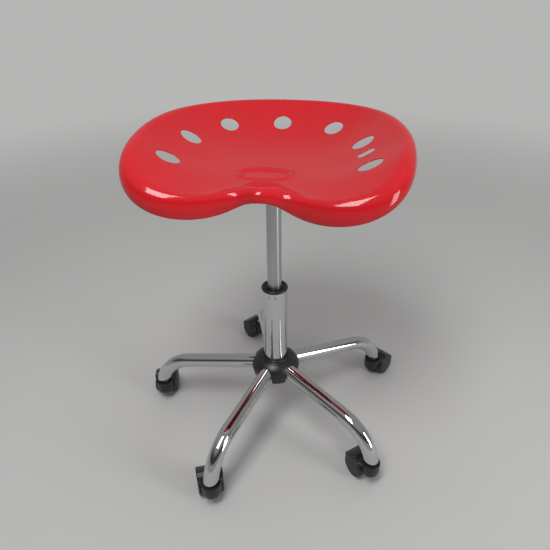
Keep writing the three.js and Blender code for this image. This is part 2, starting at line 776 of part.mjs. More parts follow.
addTo(stool, 'seat_shell', offAxis(seatShell()), redGloss);
addTo(stool, 'seat_plate', offAxis(seatPlate()), blackSteel);
addTo(stool, 'lift_tray', liftTray(), blackSteel);
addTo(stool, 'release_lever', releaseLever(), blackSteel);
addTo(stool, 'lever_grip', leverGrip(), blackPlastic);
addTo(stool, 'lever_pin', leverPin(), zincSteel);
addTo(stool, 'release_button', releaseButton(), zincSteel);
addTo(stool, 'gas_cylinder', gasCylinder(), satinSteel);
addTo(stool, 'piston', piston(), blackPlastic);
addTo(stool, 'piston_rod', pistonRod(), satinSteel);
addTo(stool, 'thrust_bearing', thrustBearing(), zincSteel);
addTo(stool, 'rubber_bumper', rubberBumper(), rubber);
addTo(stool, 'retaining_clip', retainingClip(), zincSteel);
addTo(stool, 'outer_column', outerColumn(), chrome);
addTo(stool, 'column_bush', columnBush(), satinPlastic);
addTo(stool, 'hub_sleeve', hubSleeve(), blackSteel);
addTo(stool, 'hub_cover', hubCover(), satinPlastic);

const boltShape = offAxis(seatBolt());
bossPlaces.forEach(([x, y], i) => addTo(stool, `seat_bolt_${i + 1}`, moved(boltShape, x, y, 0), zincSteel));

const legShape = legTube();
const socketShape = casterSocket();
const stemShape = casterStem();
const hoodShape = casterHood();
const axleShape = casterAxle();
const wheelShape = casterWheel();
const wheelShapes = { left: wheelShape.mirror([0, 1, 0]), right: wheelShape };

for (let i = 0; i < legCount; i++) {
  const number = i + 1;
  const arm = new THREE.Group();
  arm.rotation.z = legAzimuth(i);
  stool.add(arm);
  addTo(arm, `leg_${number}`, legShape, chrome);
  addTo(arm, `caster_socket_${number}`, socketShape, zincSteel);
  addTo(arm, `caster_stem_${number}`, stemShape, zincSteel);

  const caster = new THREE.Group();
  caster.position.x = footRadius;
  caster.rotation.z = casterHeadings[i % casterHeadings.length] * degrees - legAzimuth(i);
  arm.add(caster);
  addTo(caster, `caster_hood_${number}`, hoodShape, satinPlastic);
  addTo(caster, `caster_axle_${number}`, axleShape, zincSteel);
  Object.entries(wheelShapes).forEach(([side, shape]) =>
    addTo(caster, `caster_wheel_${number}_${side}`, shape, blackPlastic));
}

// Its extent is centred on the origin, and its wheels stand at zero height
const middle = new THREE.Box3().setFromObject(stool, true).getCenter(new THREE.Vector3());
stool.position.set(-middle.x, -middle.y, 0);
const placed = new THREE.Group().add(stool);

export default placed;
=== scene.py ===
"""Tractor seat stool: its visible pieces, their finishes and the studio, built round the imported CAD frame.

Metres, +Z up, in the frame's own axes: the origin is at floor level in the middle of the stool's extent.
"""
import json

import bmesh
import bpy
import numpy as np
from bpy.props import FloatProperty, FloatVectorProperty, IntProperty, PointerProperty
from mathutils import Matrix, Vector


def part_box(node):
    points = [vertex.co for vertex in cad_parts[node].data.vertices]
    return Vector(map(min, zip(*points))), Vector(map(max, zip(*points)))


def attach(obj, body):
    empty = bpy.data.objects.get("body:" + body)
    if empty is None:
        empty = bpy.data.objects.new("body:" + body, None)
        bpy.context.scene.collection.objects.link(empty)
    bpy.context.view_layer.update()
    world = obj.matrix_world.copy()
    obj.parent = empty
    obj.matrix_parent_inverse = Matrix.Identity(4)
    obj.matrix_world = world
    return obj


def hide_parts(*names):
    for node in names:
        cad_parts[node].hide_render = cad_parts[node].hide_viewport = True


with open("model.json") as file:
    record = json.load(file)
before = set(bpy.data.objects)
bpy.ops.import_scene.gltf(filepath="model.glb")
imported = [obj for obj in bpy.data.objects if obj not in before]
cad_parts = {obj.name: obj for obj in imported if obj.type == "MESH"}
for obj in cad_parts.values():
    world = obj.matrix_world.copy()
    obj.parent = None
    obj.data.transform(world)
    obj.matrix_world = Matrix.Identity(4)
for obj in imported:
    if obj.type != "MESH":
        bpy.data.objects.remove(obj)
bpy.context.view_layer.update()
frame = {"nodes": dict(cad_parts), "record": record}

bl_info = {
    "name": "Tractor seat stool",
    "version": (1, 0, 0),
    "blender": (4, 5, 0),
    "location": "3D View > Sidebar > Stool",
    "description": "Swivel stool: moulded bucket seat, gas lift and five tube legs on twin-wheel casters",
    "category": "Add Mesh",
}

TURN = 2 * np.pi
QUARTER = np.pi / 2
# Points of one piece that are nearer than this are welded
MERGE_DISTANCE = 2e-6


def node_box(node):
    """Lowest and highest corner of a CAD node, as arrays."""
    low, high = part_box(node)
    return np.array(low), np.array(high)


def middle_of(node):
    """Middle of a CAD node's box."""
    low, high = node_box(node)
    return (low + high) / 2


def node_heights(node):
    """Lowest and highest height of a CAD node."""
    low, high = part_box(node)
    return low[2], high[2]


LIFT_AXIS = middle_of("gas_cylinder")[:2]
SEAT_MIDDLE = middle_of("seat_plate")[:2]


# Settings

def length(name, description, default):
    """A length property in metres."""
    return FloatProperty(name=name, description=description, default=default, min=0.0, precision=4,
                         unit="LENGTH", subtype="DISTANCE")


def angle(name, description, default):
    """An angle property, given in degrees and held in radians."""
    return FloatProperty(name=name, description=description, default=np.radians(default), unit="ROTATION",
                         subtype="ANGLE")


def number(name, description, default):
    """A plain number."""
    return FloatProperty(name=name, description=description, default=default, min=0.0)


def count(name, description, default):
    """A number of grid columns or like pieces."""
    return IntProperty(name=name, description=description, default=default, min=3)


def colour(name, description, default):
    """A linear colour property."""
    return FloatVectorProperty(name=name, description=description, default=default, size=3, min=0.0, max=1.0,
                               subtype="COLOR")


class SeatSettings(bpy.types.PropertyGroup):
    """Sizes of the bucket seat and the colour that it is moulded in."""
    pan_height: length("Pan height", "Height of the middle of the pan above the floor", 0.571)
    reach: length("Reach", "Distance in plan that the rim's reach shares multiply", 0.247)
    rise: length("Rise", "Height above the pan that the rim's rise shares multiply", 0.067)
    wall: length("Wall", "Thickness of the moulding", 0.004)
    roll: length("Rim roll", "Radius that the rim's roll shares multiply", 0.026)
    wrap: angle("Rim wrap", "How far the rim turns past level on its outer side", 110)
    power: number("Bowl power", "Power of the distance that the bowl rises by at the sides", 2.8)
    power_swing: number("Power swing", "Added to that power behind, taken off in front", 0.7)
    hole_length: length("Hole length", "Outward length of an oval hole", 0.040)
    hole_width: length("Hole width", "Width of an oval hole", 0.036)
    slot_length: length("Slot length", "Outward length of the slot", 0.031)
    slot_width: length("Slot width", "Width of the slot", 0.017)
    thin: length("Thin wall", "Thickness of the moulding at the edge of each hole", 0.0018)
    lip: length("Lip", "Radius of the rounded edge of each hole", 0.0008)
    ring_length: length("Ring length", "Length across the stool of the raised oval ring's ridge line", 0.090)
    ring_width: length("Ring width", "Width of the raised oval ring's ridge line", 0.052)
    ring_band: length("Ring band", "Width of the raised ring's ridge", 0.026)
    ring_rise: length("Ring rise", "Height of the raised ring's ridge", 0.0026)
    ring_dish: length("Ring dish", "Depth of the shallow dish inside the ring", 0.0018)
    ring_shift: length("Ring shift", "How far the ring's middle stands to the left of the seat's", 0.006)
    boss_radius: length("Boss radius", "Radius of a bolt boss under the pan", 0.009)
    boss_spacing: length("Boss spacing", "Distance between the bosses, both ways", 0.120)
    spokes: count("Spokes", "Grid columns round the seat", 360)
    red: colour("Red", "Colour of the moulding", (0.59, 0.007, 0.014))


class LiftSettings(bpy.types.PropertyGroup):
    """Sizes of the gas lift's tubes, its lever and its bracket."""
    lift_radius: length("Lift radius", "Radius of the inner tube", 0.014)
    taper: length("Taper", "Length of the inner tube's tapered end", 0.045)
    column_radius: length("Column radius", "Radius of the outer column", 0.025)
    column_wall: length("Column wall", "Wall of the outer column", 0.0015)
    dimple_depth: length("Dimple depth", "Depth of a crimp in the outer column", 0.0024)
    dimple_radius: length("Dimple radius", "Radius of a crimp in the outer column", 0.0024)
    dimple_drop: length("Dimple drop", "Distance of the crimps below the column's top", 0.0080)
    sheet: length("Sheet", "Thickness of the pressed plate", 0.003)
    tray_depth: length("Tray depth", "Depth of the folded tray", 0.0244)
    tray_wall: length("Tray wall", "Thickness of the folded tray", 0.0025)
    lever_radius: length("Lever radius", "Radius of the lever's rod", 0.004)
    grip_radius: length("Grip radius", "Radius of the lever's grip", 0.0075)
    sides: count("Sides", "Columns round each tube", 96)


class BaseSettings(bpy.types.PropertyGroup):
    """Sizes of the hub and its bent legs."""
    legs: count("Legs", "Number of legs", 5)
    phase: angle("Phase", "Turn of the first leg from +X", 33.6)
    leg_radius: length("Leg radius", "Radius of a leg's tube", 0.0152)
    leg_wall: length("Leg wall", "Wall of a leg's tube", 0.0015)
    hub_radius: length("Hub radius", "Radius of the sleeve that the legs are welded to", 0.030)
    start_height: length("Start height", "Height of a leg's middle line at the sleeve", 0.142)
    fall: angle("Fall", "Slope of a leg's straight part", 7.4)
    foot: length("Foot radius", "Distance of a leg's foot from the lift's axis", 0.265)
    bend: length("Bend radius", "Radius of a leg's bend", 0.078)
    toe: length("Toe height", "Height of a leg's end on its outer side", 0.056)
    heel: length("Heel height", "Height of a leg's end on its inner side", 0.065)
    cover_top: length("Cover top", "Height of the hub cover's raised lip", 0.167)
    cover_skirt: length("Cover skirt", "Height of the hub cover's lower edge", 0.122)
    cover_widest: length("Widest height", "Height where the hub cover is widest", 0.140)
    cover_radius: length("Cover radius", "Radius of the hub cover where it is widest", 0.051)
    cover_waist: length("Cover waist", "Radius of the hub cover's lower edge", 0.0475)
    cover_dome: length("Cover dome", "Height that the hub cover's arc would reach", 0.0305)
    cover_lip: length("Cover lip", "Outer radius of the raised lip round the column", 0.0295)
    cover_wall: length("Cover wall", "Wall of the hub cover", 0.0025)
    sides: count("Sides", "Columns round a leg's tube", 56)


class CasterSettings(bpy.types.PropertyGroup):
    """Sizes of a twin-wheel caster, drawn with its stem upright and trailing along +X."""
    wheel_radius: length("Wheel radius", "Radius of a wheel's tread", 0.0245)
    width: length("Width", "Width over both wheels", 0.051)
    trail: length("Trail", "Distance of the axle behind the stem", 0.0255)
    web: length("Web", "Thickness of the hood's middle web", 0.0064)
    gap: length("Gap", "Gap between the web and a wheel", 0.0004)
    shoulder: length("Shoulder", "Rounding of a wheel's outer shoulder", 0.0032)
    hood_top: length("Hood top", "Height of the hood's shelf under the stem", 0.0486)
    hood_shelf: length("Hood shelf", "Distance behind the stem where the hood begins to rise", 0.0165)
    hood_crown: length("Hood crown", "Height of the hood over the axle", 0.0528)
    hood_tail: length("Hood tail", "Height of the hood's rear edge", 0.0385)
    hood_rear: length("Hood rear", "Distance of the hood's rear edge behind the stem", 0.0510)
    hood_nose: length("Hood nose", "Radius of the hood's round front about the stem", 0.0185)
    hood_corner: length("Hood corner", "Rounding in plan of the hood's rear corners", 0.0075)
    hood_edge: length("Hood edge", "Rounding of the hood's upper edge", 0.0024)
    hood_wall: length("Hood wall", "Wall of the hood", 0.0016)
    hood_lip: length("Hood lip", "Depth of the hood's lip over the wheels", 0.0085)
    shield_depth: length("Shield depth", "Depth of the round shield at the hood's nose", 0.0230)
    shield_spread: angle("Shield spread", "Angle from the nose where the shield ends", 88)
    cup_radius: length("Cup radius", "Outer radius of the rim round the leg's end", 0.0183)
    cup_rise: length("Cup rise", "Height of that rim over the hood", 0.0010)


class StageSettings(bpy.types.PropertyGroup):
    """Camera, floor and surroundings."""
    lens: FloatProperty(name="Lens", description="Focal length of the camera", default=33.876, unit="CAMERA")
    camera: FloatVectorProperty(name="Camera place", description="Place of the camera", size=3,
                                default=(0.1283, -0.8724, 0.8971), unit="LENGTH", subtype="TRANSLATION")
    heading: angle("Heading", "Turn of the camera's look from +Y", 7.7)
    pitch: angle("Pitch", "How far the camera looks down", 31.857)
    roll: angle("Roll", "Roll of the camera about its look", -0.733)
    floor: colour("Floor", "Colour of the floor", (0.505, 0.505, 0.50))
    far_floor: colour("Far floor", "Tone that the floor far from the stool is seen in", (0.47, 0.47, 0.465))
    sky: colour("Surroundings", "Colour of the surroundings behind the stool", (0.46, 0.46, 0.455))
    dark: colour("Dark side", "Colour of the surroundings low down behind the camera", (0.07, 0.07, 0.075))
    zenith: colour("Overhead", "Colour of the surroundings overhead", (0.46, 0.46, 0.46))
    strength: number("Strength", "Strength of the surroundings", 0.7)


SETTINGS = {"stool_seat": SeatSettings, "stool_lift": LiftSettings, "stool_base": BaseSettings,
            "stool_caster": CasterSettings, "stool_stage": StageSettings}


# Mesh tools

def cells(rows, columns, loop_rows=False):
    """Quads of a grid: each joins point (i, j) to the next row and column.

    The columns go round. The rows go round too where loop_rows is set.
    """
    i, j = np.meshgrid(np.arange(rows if loop_rows else rows - 1), np.arange(columns), indexing="ij")
    below, beside = (i + 1) % rows, (j + 1) % columns
    corners = [i * columns + j, i * columns + beside, below * columns + beside, below * columns + j]
    return np.stack(corners, axis=-1).reshape(-1, 4)


def grid(points, loop_rows=False):
    """A (rows, columns, 3) array of points with its quads."""
    return points.reshape(-1, 3), cells(*points.shape[:2], loop_rows)


def capped(rings):
    """Rings of points joined by quads, and the first and the last ring closed by flat faces."""
    rows, columns = rings.shape[:2]
    ends = np.stack([np.arange(columns)[::-1], np.arange(columns) + (rows - 1) * columns])
    return [grid(rings), (rings.reshape(-1, 3), ends)]


def rounded(corners, steps=5):
    """A closed outline from (across, up, rounding) corners, each turned into a quadratic curve.

    A corner's curve starts and ends at its rounding's distance along its two sides, at most half way along.
    """
    points, radii = np.asarray(corners, float)[:, :2], np.asarray(corners, float)[:, 2:]
    before, after = np.roll(points, 1, axis=0) - points, np.roll(points, -1, axis=0) - points
    lengths = np.hypot(*before.T)[:, None], np.hypot(*after.T)[:, None]
    start = points + before / lengths[0] * np.minimum(radii, lengths[0] / 2)
    end = points + after / lengths[1] * np.minimum(radii, lengths[1] / 2)
    t = np.linspace(0, 1, steps + 1)[None, :, None]
    curve = (1 - t) ** 2 * start[:, None] + 2 * t * (1 - t) * points[:, None] + t ** 2 * end[:, None]
    return curve.reshape(-1, 2)


def evenly(points, radius):
    """Corners for rounded() that all have one rounding."""
    return np.column_stack([points, np.full(len(points), radius)])


def lathe(outline, sides, centre=(0.0, 0.0)):
    """A closed outline of (radius, height) turned about the upright axis through centre."""
    a = np.arange(sides) * TURN / sides
    r, z = outline[:, 0, None], outline[:, 1, None]
    points = np.stack([centre[0] + r * np.cos(a), centre[1] + r * np.sin(a), z + 0 * a], axis=-1)
    return grid(points, loop_rows=True)


def turned(corners, sides, centre=(0.0, 0.0), steps=5):
    """A rounded outline of (radius, height, rounding) corners turned about an upright axis."""
    return lathe(rounded(corners, steps), sides, centre)


def prism(outline, low, high, edge, steps=3):
    """An outline in plan raised from low to high, its two edges rounded by insets along a quarter circle.

    The outline is an (n, 2) array. Each of its points has to be in plain sight of the outline's mean.
    """
    mean = outline.mean(axis=0)
    away = outline - mean
    q = np.linspace(0, QUARTER, steps + 1)
    inset, drop = edge * (1 - np.sin(q)), edge * (1 - np.cos(q))
    heights = np.concatenate([low + drop, high - drop[::-1]])
    insets = np.concatenate([inset, inset[::-1]])
    rings = mean + away * (1 - insets[:, None] / np.hypot(*away.T))[..., None]
    upright = np.broadcast_to(heights[:, None, None], rings.shape[:2] + (1,))
    return capped(np.concatenate([rings, upright], axis=-1))


def channel(section, half):
    """A closed (y, z) section carried along X between minus half and half, with flat ends."""
    return capped(np.stack([np.column_stack([np.full(len(section), x), section]) for x in (-half, half)]))


def moved(part, matrix):
    """A part whose points are carried by a 4x4 matrix."""
    points, *rest = part
    return points @ matrix[:3, :3].T + matrix[:3, 3], *rest


def upright_turn(turn, x=0.0, y=0.0, z=0.0):
    """Matrix that turns about +Z and then shifts."""
    return np.array(Matrix.Translation((x, y, z)) @ Matrix.Rotation(turn, 4, "Z"))


def lying(axis, x=0.0, y=0.0, z=0.0):
    """Matrix that lays a piece drawn along +Z down along +X or +Y, and then shifts it."""
    turn = Matrix.Rotation(QUARTER, 4, "Y") if axis == "X" else Matrix.Rotation(-QUARTER, 4, "X")
    return np.array(Matrix.Translation((x, y, z)) @ turn)


AT_LIFT = upright_turn(0, *LIFT_AXIS)
AT_SEAT = upright_turn(0, *SEAT_MIDDLE)


def link(name, data):
    """A new object of the scene."""
    thing = bpy.data.objects.new(name, data)
    bpy.context.scene.collection.objects.link(thing)
    return thing


def make_piece(name, parts, body, slot, node, crease=40.0, second=None):
    """One object from several (points, faces) parts, welded and faced outwards.

    It is smooth up to the crease angle. Its finish is its slot's, and a part whose third value is 1 has the
    second finish.
    """
    points = np.vstack([part[0] for part in parts])
    starts = np.cumsum([0] + [len(part[0]) for part in parts[:-1]])
    faces = [part[1] + start for part, start in zip(parts, starts)]
    sizes = np.concatenate([np.full(len(f), f.shape[1]) for f in faces])
    places = [np.full(len(part[1]), part[2] if len(part) > 2 else 0) for part in parts]
    mesh = bpy.data.meshes.new(name)
    mesh.vertices.add(len(points))
    mesh.vertices.foreach_set("co", points.astype(np.float32).ravel())
    mesh.loops.add(int(sizes.sum()))
    mesh.loops.foreach_set("vertex_index", np.concatenate([f.ravel() for f in faces]).astype(np.int32))
    mesh.polygons.add(len(sizes))
    mesh.polygons.foreach_set("loop_start", (np.cumsum(sizes) - sizes).astype(np.int32))
    for finish in [FINISHES[slot]] + ([second] if second else []):
        mesh.materials.append(finish())
    mesh.polygons.foreach_set("material_index", np.concatenate(places).astype(np.int32))
    mesh.update(calc_edges=True)
    shape = bmesh.new()
    shape.from_mesh(mesh)
    bmesh.ops.remove_doubles(shape, verts=shape.verts, dist=MERGE_DISTANCE)
    bmesh.ops.dissolve_degenerate(shape, edges=shape.edges, dist=MERGE_DISTANCE)
    bmesh.ops.recalc_face_normals(shape, faces=shape.faces)
    shape.to_mesh(mesh)
    shape.free()
    mesh.shade_smooth()
    mesh.set_sharp_from_angle(angle=np.radians(crease))
    piece = link(name, mesh)
    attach(piece, body)
    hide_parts(node)
    return piece


# Finishes

# Places of the Mix node's colour sockets, which come after its value and vector ones
MIX_FIRST = 6
MIX_SECOND = 7
MIX_RESULT = 2


def wire(tree, kind, inputs=None, **facts):
    """A node with its own facts set, each input given a value or joined to a socket."""
    node = tree.nodes.new(kind)
    for key, value in facts.items():
        setattr(node, key, value)
    for key, value in (inputs or {}).items():
        if isinstance(value, bpy.types.NodeSocket):
            tree.links.new(value, node.inputs[key])
        else:
            node.inputs[key].default_value = value
    return node


def worked(tree, operation, first, second, clamp=False):
    """The result of arithmetic on two values."""
    node = wire(tree, "ShaderNodeMath", {0: first, 1: second}, operation=operation, use_clamp=clamp)
    return node.outputs[0]


def noise(tree, place, scale, detail, rough):
    """Noise on a place vector."""
    return wire(tree, "ShaderNodeTexNoise", {"Vector": place, "Scale": scale, "Detail": detail,
                                             "Roughness": rough}).outputs


def ramp(tree, value, span, result=(0.0, 1.0)):
    """A value carried smoothly from one range to another."""
    inputs = {"Value": value, "From Min": span[0], "From Max": span[1], "To Min": result[0],
              "To Max": result[1]}
    return wire(tree, "ShaderNodeMapRange", inputs, interpolation_type="SMOOTHSTEP").outputs[0]


def blend(tree, mask, plain, other):
    """A colour between two by a mask, each a colour or a socket."""
    pair = [c if isinstance(c, bpy.types.NodeSocket) else (*c, 1) for c in (plain, other)]
    inputs = {"Factor": mask, MIX_FIRST: pair[0], MIX_SECOND: pair[1]}
    return wire(tree, "ShaderNodeMix", inputs, data_type="RGBA").outputs[MIX_RESULT]


def bumped(tree, height, strength, distance):
    """A normal from a height."""
    inputs = {"Height": height, "Strength": strength, "Distance": distance}
    return wire(tree, "ShaderNodeBump", inputs).outputs[0]


def effect(tree, name, inputs, outputs, build, values):
    """A shader node group, built once from its inputs' defaults and outputs' names, placed with values."""
    group = bpy.data.node_groups.get(name)
    if not group:
        group = bpy.data.node_groups.new(name, "ShaderNodeTree")
        for label, default in inputs.items():
            kind = "NodeSocketFloat" if isinstance(default, float) else "NodeSocketVector"
            group.interface.new_socket(label, in_out="INPUT", socket_type=kind).default_value = default
        for label in outputs:
            group.interface.new_socket(label, in_out="OUTPUT", socket_type="NodeSocketFloat")
        source, result = group.nodes.new("NodeGroupInput"), group.nodes.new("NodeGroupOutput")
        place = wire(group, "ShaderNodeTexCoord").outputs["Object"]
        for label, value in zip(outputs, build(group, place, source.outputs)):
            group.links.new(value, result.inputs[label])
    return wire(tree, "ShaderNodeGroup", values, node_tree=group).outputs


def grain(tree, scale):
    """Moulded or cast grain: fine cells over a slow swell, as a height."""
    def build(group, place, inputs):
        fine = noise(group, place, inputs["Scale"], detail=2.0, rough=0.6)["Fac"]
        cellular = wire(group, "ShaderNodeTexVoronoi", {"Vector": place, "Scale": inputs["Scale"]},
                        feature="SMOOTH_F1").outputs["Distance"]
        return [worked(group, "ADD", fine, cellular)]
    return effect(tree, "Moulded grain", {"Scale": 900.0}, ["Height"], build, {"Scale": scale})["Height"]


def handling(tree, scale, streaks):
    """Handling marks: broad soft patches broken by thin drifting streaks, as a mask and as their swell."""
    def build(group, place, inputs):
        broad = noise(group, place, inputs["Scale"], detail=4.0, rough=0.62)
        warped = wire(group, "ShaderNodeVectorMath", {0: place, 1: broad["Color"]}, operation="ADD")
        thin = noise(group, warped.outputs[0], inputs["Streaks"], detail=5.0, rough=0.7)["Fac"]
        patches, lines = ramp(group, broad["Fac"], (0.38, 0.68)), ramp(group, thin, (0.45, 0.75))
        return [worked(group, "MULTIPLY", patches, lines), broad["Fac"]]
    return effect(tree, "Handling marks", {"Scale": 9.0, "Streaks": 60.0}, ["Mask", "Swell"], build,
                  {"Scale": scale, "Streaks": streaks})


def dust(tree, scale, amount):
    """Settled dust: patchy specks that gather on faces that look up, as a mask."""
    def build(group, place, inputs):
        normal = wire(group, "ShaderNodeNewGeometry").outputs["Normal"]
        up = wire(group, "ShaderNodeSeparateXYZ", {0: normal}).outputs["Z"]
        specks = noise(group, place, inputs["Scale"], detail=6.0, rough=0.75)["Fac"]
        both = worked(group, "MULTIPLY", ramp(group, specks, (0.5, 0.72)), ramp(group, up, (0.1, 0.95)))
        return [worked(group, "MULTIPLY", both, inputs["Amount"])]
    return effect(tree, "Settled dust", {"Scale": 240.0, "Amount": 0.3}, ["Mask"], build,
                  {"Scale": scale, "Amount": amount})["Mask"]


def drawn(tree, scale, squeeze):
    """Drawn or ground lines: noise squeezed along one axis, as a height and a mask."""
    def build(group, place, inputs):
        squeezed = wire(group, "ShaderNodeVectorMath", {0: place, 1: inputs["Squeeze"]},
                        operation="MULTIPLY").outputs[0]
        lines = noise(group, squeezed, inputs["Scale"], detail=4.0, rough=0.65)["Fac"]
        return [lines, ramp(group, lines, (0.35, 0.65))]
    return effect(tree, "Drawn lines", {"Scale": 600.0, "Squeeze": (1.0, 1.0, 1.0)}, ["Height", "Mask"],
                  build, {"Scale": scale, "Squeeze": squeeze})


def shaded(name, build, **sockets):
    """A material with one Principled shader: its fixed values as given, its varying sockets from build."""
    if name in bpy.data.materials:
        return bpy.data.materials[name]
    material = bpy.data.materials.new(name)
    material.use_nodes = True
    tree = material.node_tree
    shader = tree.nodes["Principled BSDF"]
    for key, value in sockets.items():
        shader.inputs[key.replace("_", " ")].default_value = value
    for key, socket in build(tree).items():
        tree.links.new(socket, shader.inputs[key.replace("_", " ")])
    return material


def seat_red():
    """High-gloss moulded red: slight orange peel, faint handling marks and a breath of dust."""
    red = np.array(bpy.context.scene.stool_seat.red)
    worn, dusty = red * 0.82 + (0.03, 0.006, 0.006), (0.55, 0.42, 0.40)

    def build(tree):
        marks = handling(tree, scale=7.0, streaks=34.0)
        base = blend(tree, marks["Swell"], red, worn)
        return {"Base_Color": blend(tree, dust(tree, scale=420.0, amount=0.10), base, dusty),
                "Roughness": ramp(tree, marks["Mask"], (0, 1), (0.09, 0.20)),
                "Normal": bumped(tree, grain(tree, 140.0), strength=0.04, distance=0.0006)}
    return shaded("Gloss red moulding", build, IOR=1.45)


def chrome():
    """Bright chrome plate with faint wiping marks, a slow swell from the bent tube and pin-prick pits."""
    bright, wiped = (0.62, 0.625, 0.63), (0.44, 0.445, 0.45)

    def build(tree):
        marks = handling(tree, scale=16.0, streaks=120.0)["Mask"]
        return {"Base_Color": blend(tree, marks, bright, wiped),
                "Roughness": ramp(tree, marks, (0, 1), (0.035, 0.15)),
                "Normal": bumped(tree, grain(tree, 95.0), strength=0.035, distance=0.0006)}
    return shaded("Bright chrome plate", build, Metallic=1.0)


def satin_steel():
    """Ground steel tube: fine upright lines, with its reflections spread up and down by marks round it."""
    bright, ground = (0.50, 0.505, 0.51), (0.44, 0.445, 0.45)

    def build(tree):
        lines = drawn(tree, scale=420.0, squeeze=(1.0, 1.0, 0.006))
        swell = handling(tree, scale=22.0, streaks=90.0)["Swell"]
        return {"Base_Color": blend(tree, lines["Mask"], bright, ground),
                "Roughness": ramp(tree, swell, (0.3, 0.7), (0.28, 0.34)),
                "Tangent": wire(tree, "ShaderNodeCombineXYZ", {"Z": 1.0}).outputs[0],
                "Normal": bumped(tree, lines["Height"], strength=0.05, distance=0.0002)}
    return shaded("Satin lift steel", build, Metallic=1.0, Anisotropic=0.9)


def zinc_steel():
    """Bright zinc plate, a little cloudy, with bluish and straw patches."""
    bluish, straw = (0.66, 0.67, 0.69), (0.62, 0.59, 0.52)

    def build(tree):
        marks = handling(tree, scale=60.0, streaks=240.0)
        return {"Base_Color": blend(tree, marks["Swell"], bluish, straw),
                "Roughness": ramp(tree, marks["Mask"], (0, 1), (0.22, 0.42)),
                "Normal": bumped(tree, grain(tree, 1500.0), strength=0.08, distance=0.0002)}
    return shaded("Zinc plated steel", build, Metallic=1.0)


def black_steel():
    """Black powder coat: fine orange peel and scuffed, dusty upper faces."""
    plain, dusty = (0.018, 0.018, 0.019), (0.12, 0.115, 0.11)

    def build(tree):
        marks = handling(tree, scale=30.0, streaks=140.0)["Mask"]
        return {"Base_Color": blend(tree, dust(tree, scale=260.0, amount=0.35), plain, dusty),
                "Roughness": ramp(tree, marks, (0, 1), (0.38, 0.6)),
                "Normal": bumped(tree, grain(tree, 1300.0), strength=0.25, distance=0.0003)}
    return shaded("Black powder coat", build, Coat_Weight=0.15, Coat_Roughness=0.3)


def dark_plastic(name, plain, dusty, rough, grain_scale, grain_strength):
    """Dark moulded plastic: spark-eroded grain, dust on its upper faces and rubbed, rougher patches."""
    rubbed = 0.16

    def build(tree):
        marks = handling(tree, scale=26.0, streaks=150.0)["Mask"]
        return {"Base_Color": blend(tree, dust(tree, scale=300.0, amount=0.30), plain, dusty),
                "Roughness": ramp(tree, marks, (0, 1), (rough, rough + rubbed)),
                "Normal": bumped(tree, grain(tree, grain_scale), grain_strength, distance=0.0003)}
    return shaded(name, build, IOR=1.48)


def black_plastic():
    """Black nylon of the wheels and the grip."""
    return dark_plastic("Black nylon", plain=(0.013, 0.014, 0.015), dusty=(0.08, 0.08, 0.077), rough=0.36,
                        grain_scale=1800.0, grain_strength=0.18)


def satin_plastic():
    """Dark grey polypropylene of the hub cover, the bush and the hoods."""
    return dark_plastic("Dark satin polypropylene", plain=(0.012, 0.013, 0.015), dusty=(0.08, 0.08, 0.077),
                        rough=0.34, grain_scale=1500.0, grain_strength=0.14)


def painted_shadow_black():
    """Painted shadow: a near-black finish for the floor of the recess round a leg's end, where shade falls.
    """
    return dark_plastic("Painted shadow recess", plain=(0.003, 0.003, 0.003), dusty=(0.006, 0.006, 0.006),
                        rough=0.7, grain_scale=900.0, grain_strength=0.2)


def rubber():
    """Matt rubber with a bloom."""
    return dark_plastic("Matt rubber", plain=(0.018, 0.018, 0.018), dusty=(0.07, 0.07, 0.07), rough=0.75,
                        grain_scale=1100.0, grain_strength=0.35)


FINISHES = {finish.__name__: finish for finish in (seat_red, chrome, satin_steel, zinc_steel, black_steel,
                                                   black_plastic, satin_plastic, rubber)}


# Seat

# Shares of the reach, the rise and the roll at even steps from the back's middle to the front's middle
REACH_SHARES = (1.19, 1.23, 1.16, 1.045, 1.0, 1.0, 0.78, 0.455, 0.445)
RISE_SHARES = (0.92, 0.9, 0.96, 1.0, 0.91, 0.61, 0.12, 0.13, 0.21)
ROLL_SHARES = (0.54, 0.54, 0.54, 0.58, 0.65, 0.81, 1.0, 0.85, 0.58)
# Each oval hole's angle from the back in degrees, its distance in metres and its share of the hole's length
HOLES = ((0, 0.2211, 1), (28, 0.2250, 1), (-28, 0.2280, 1), (58, 0.1909, 1.05), (-57.2, 0.1930, 1.05),
         (95, 0.1729, 1.1), (-93, 0.1729, 1.1))
SLOT_ANGLE = 73.3
SLOT_DISTANCE = 0.1741
# Powers of the superellipses that the holes and the slot are
OVAL_POWER = 2.0
SLOT_POWER = 4.5
# Least distance from a hole's edge to the border of the grid window that it takes out
HOLE_MARGIN = 0.007
# Grid rows over the bowl, the roll and the rim's edge
BOWL_ROWS = 64
ROLL_ROWS = 22
EDGE_ROWS = 6
# Grid rows from a hole's window to its lip, and over the lip
BORDER_ROWS = 7
LIP_ROWS = 6
# Rounds of the substitution that finds the lean
LEAN_ROUNDS = 16


def rim_series(shares, at):
    """Cosine series through evenly spaced stations over half a turn, even about the seat's middle line."""
    last = len(shares) - 1
    k = np.arange(last + 1)
    weight = np.where((k == 0) | (k == last), 0.5, 1.0)
    terms = 2 / last * weight * (np.cos(np.pi * np.outer(k, k) / last) @ (weight * np.array(shares)))
    return np.cos(np.multiply.outer(at, k)) @ terms


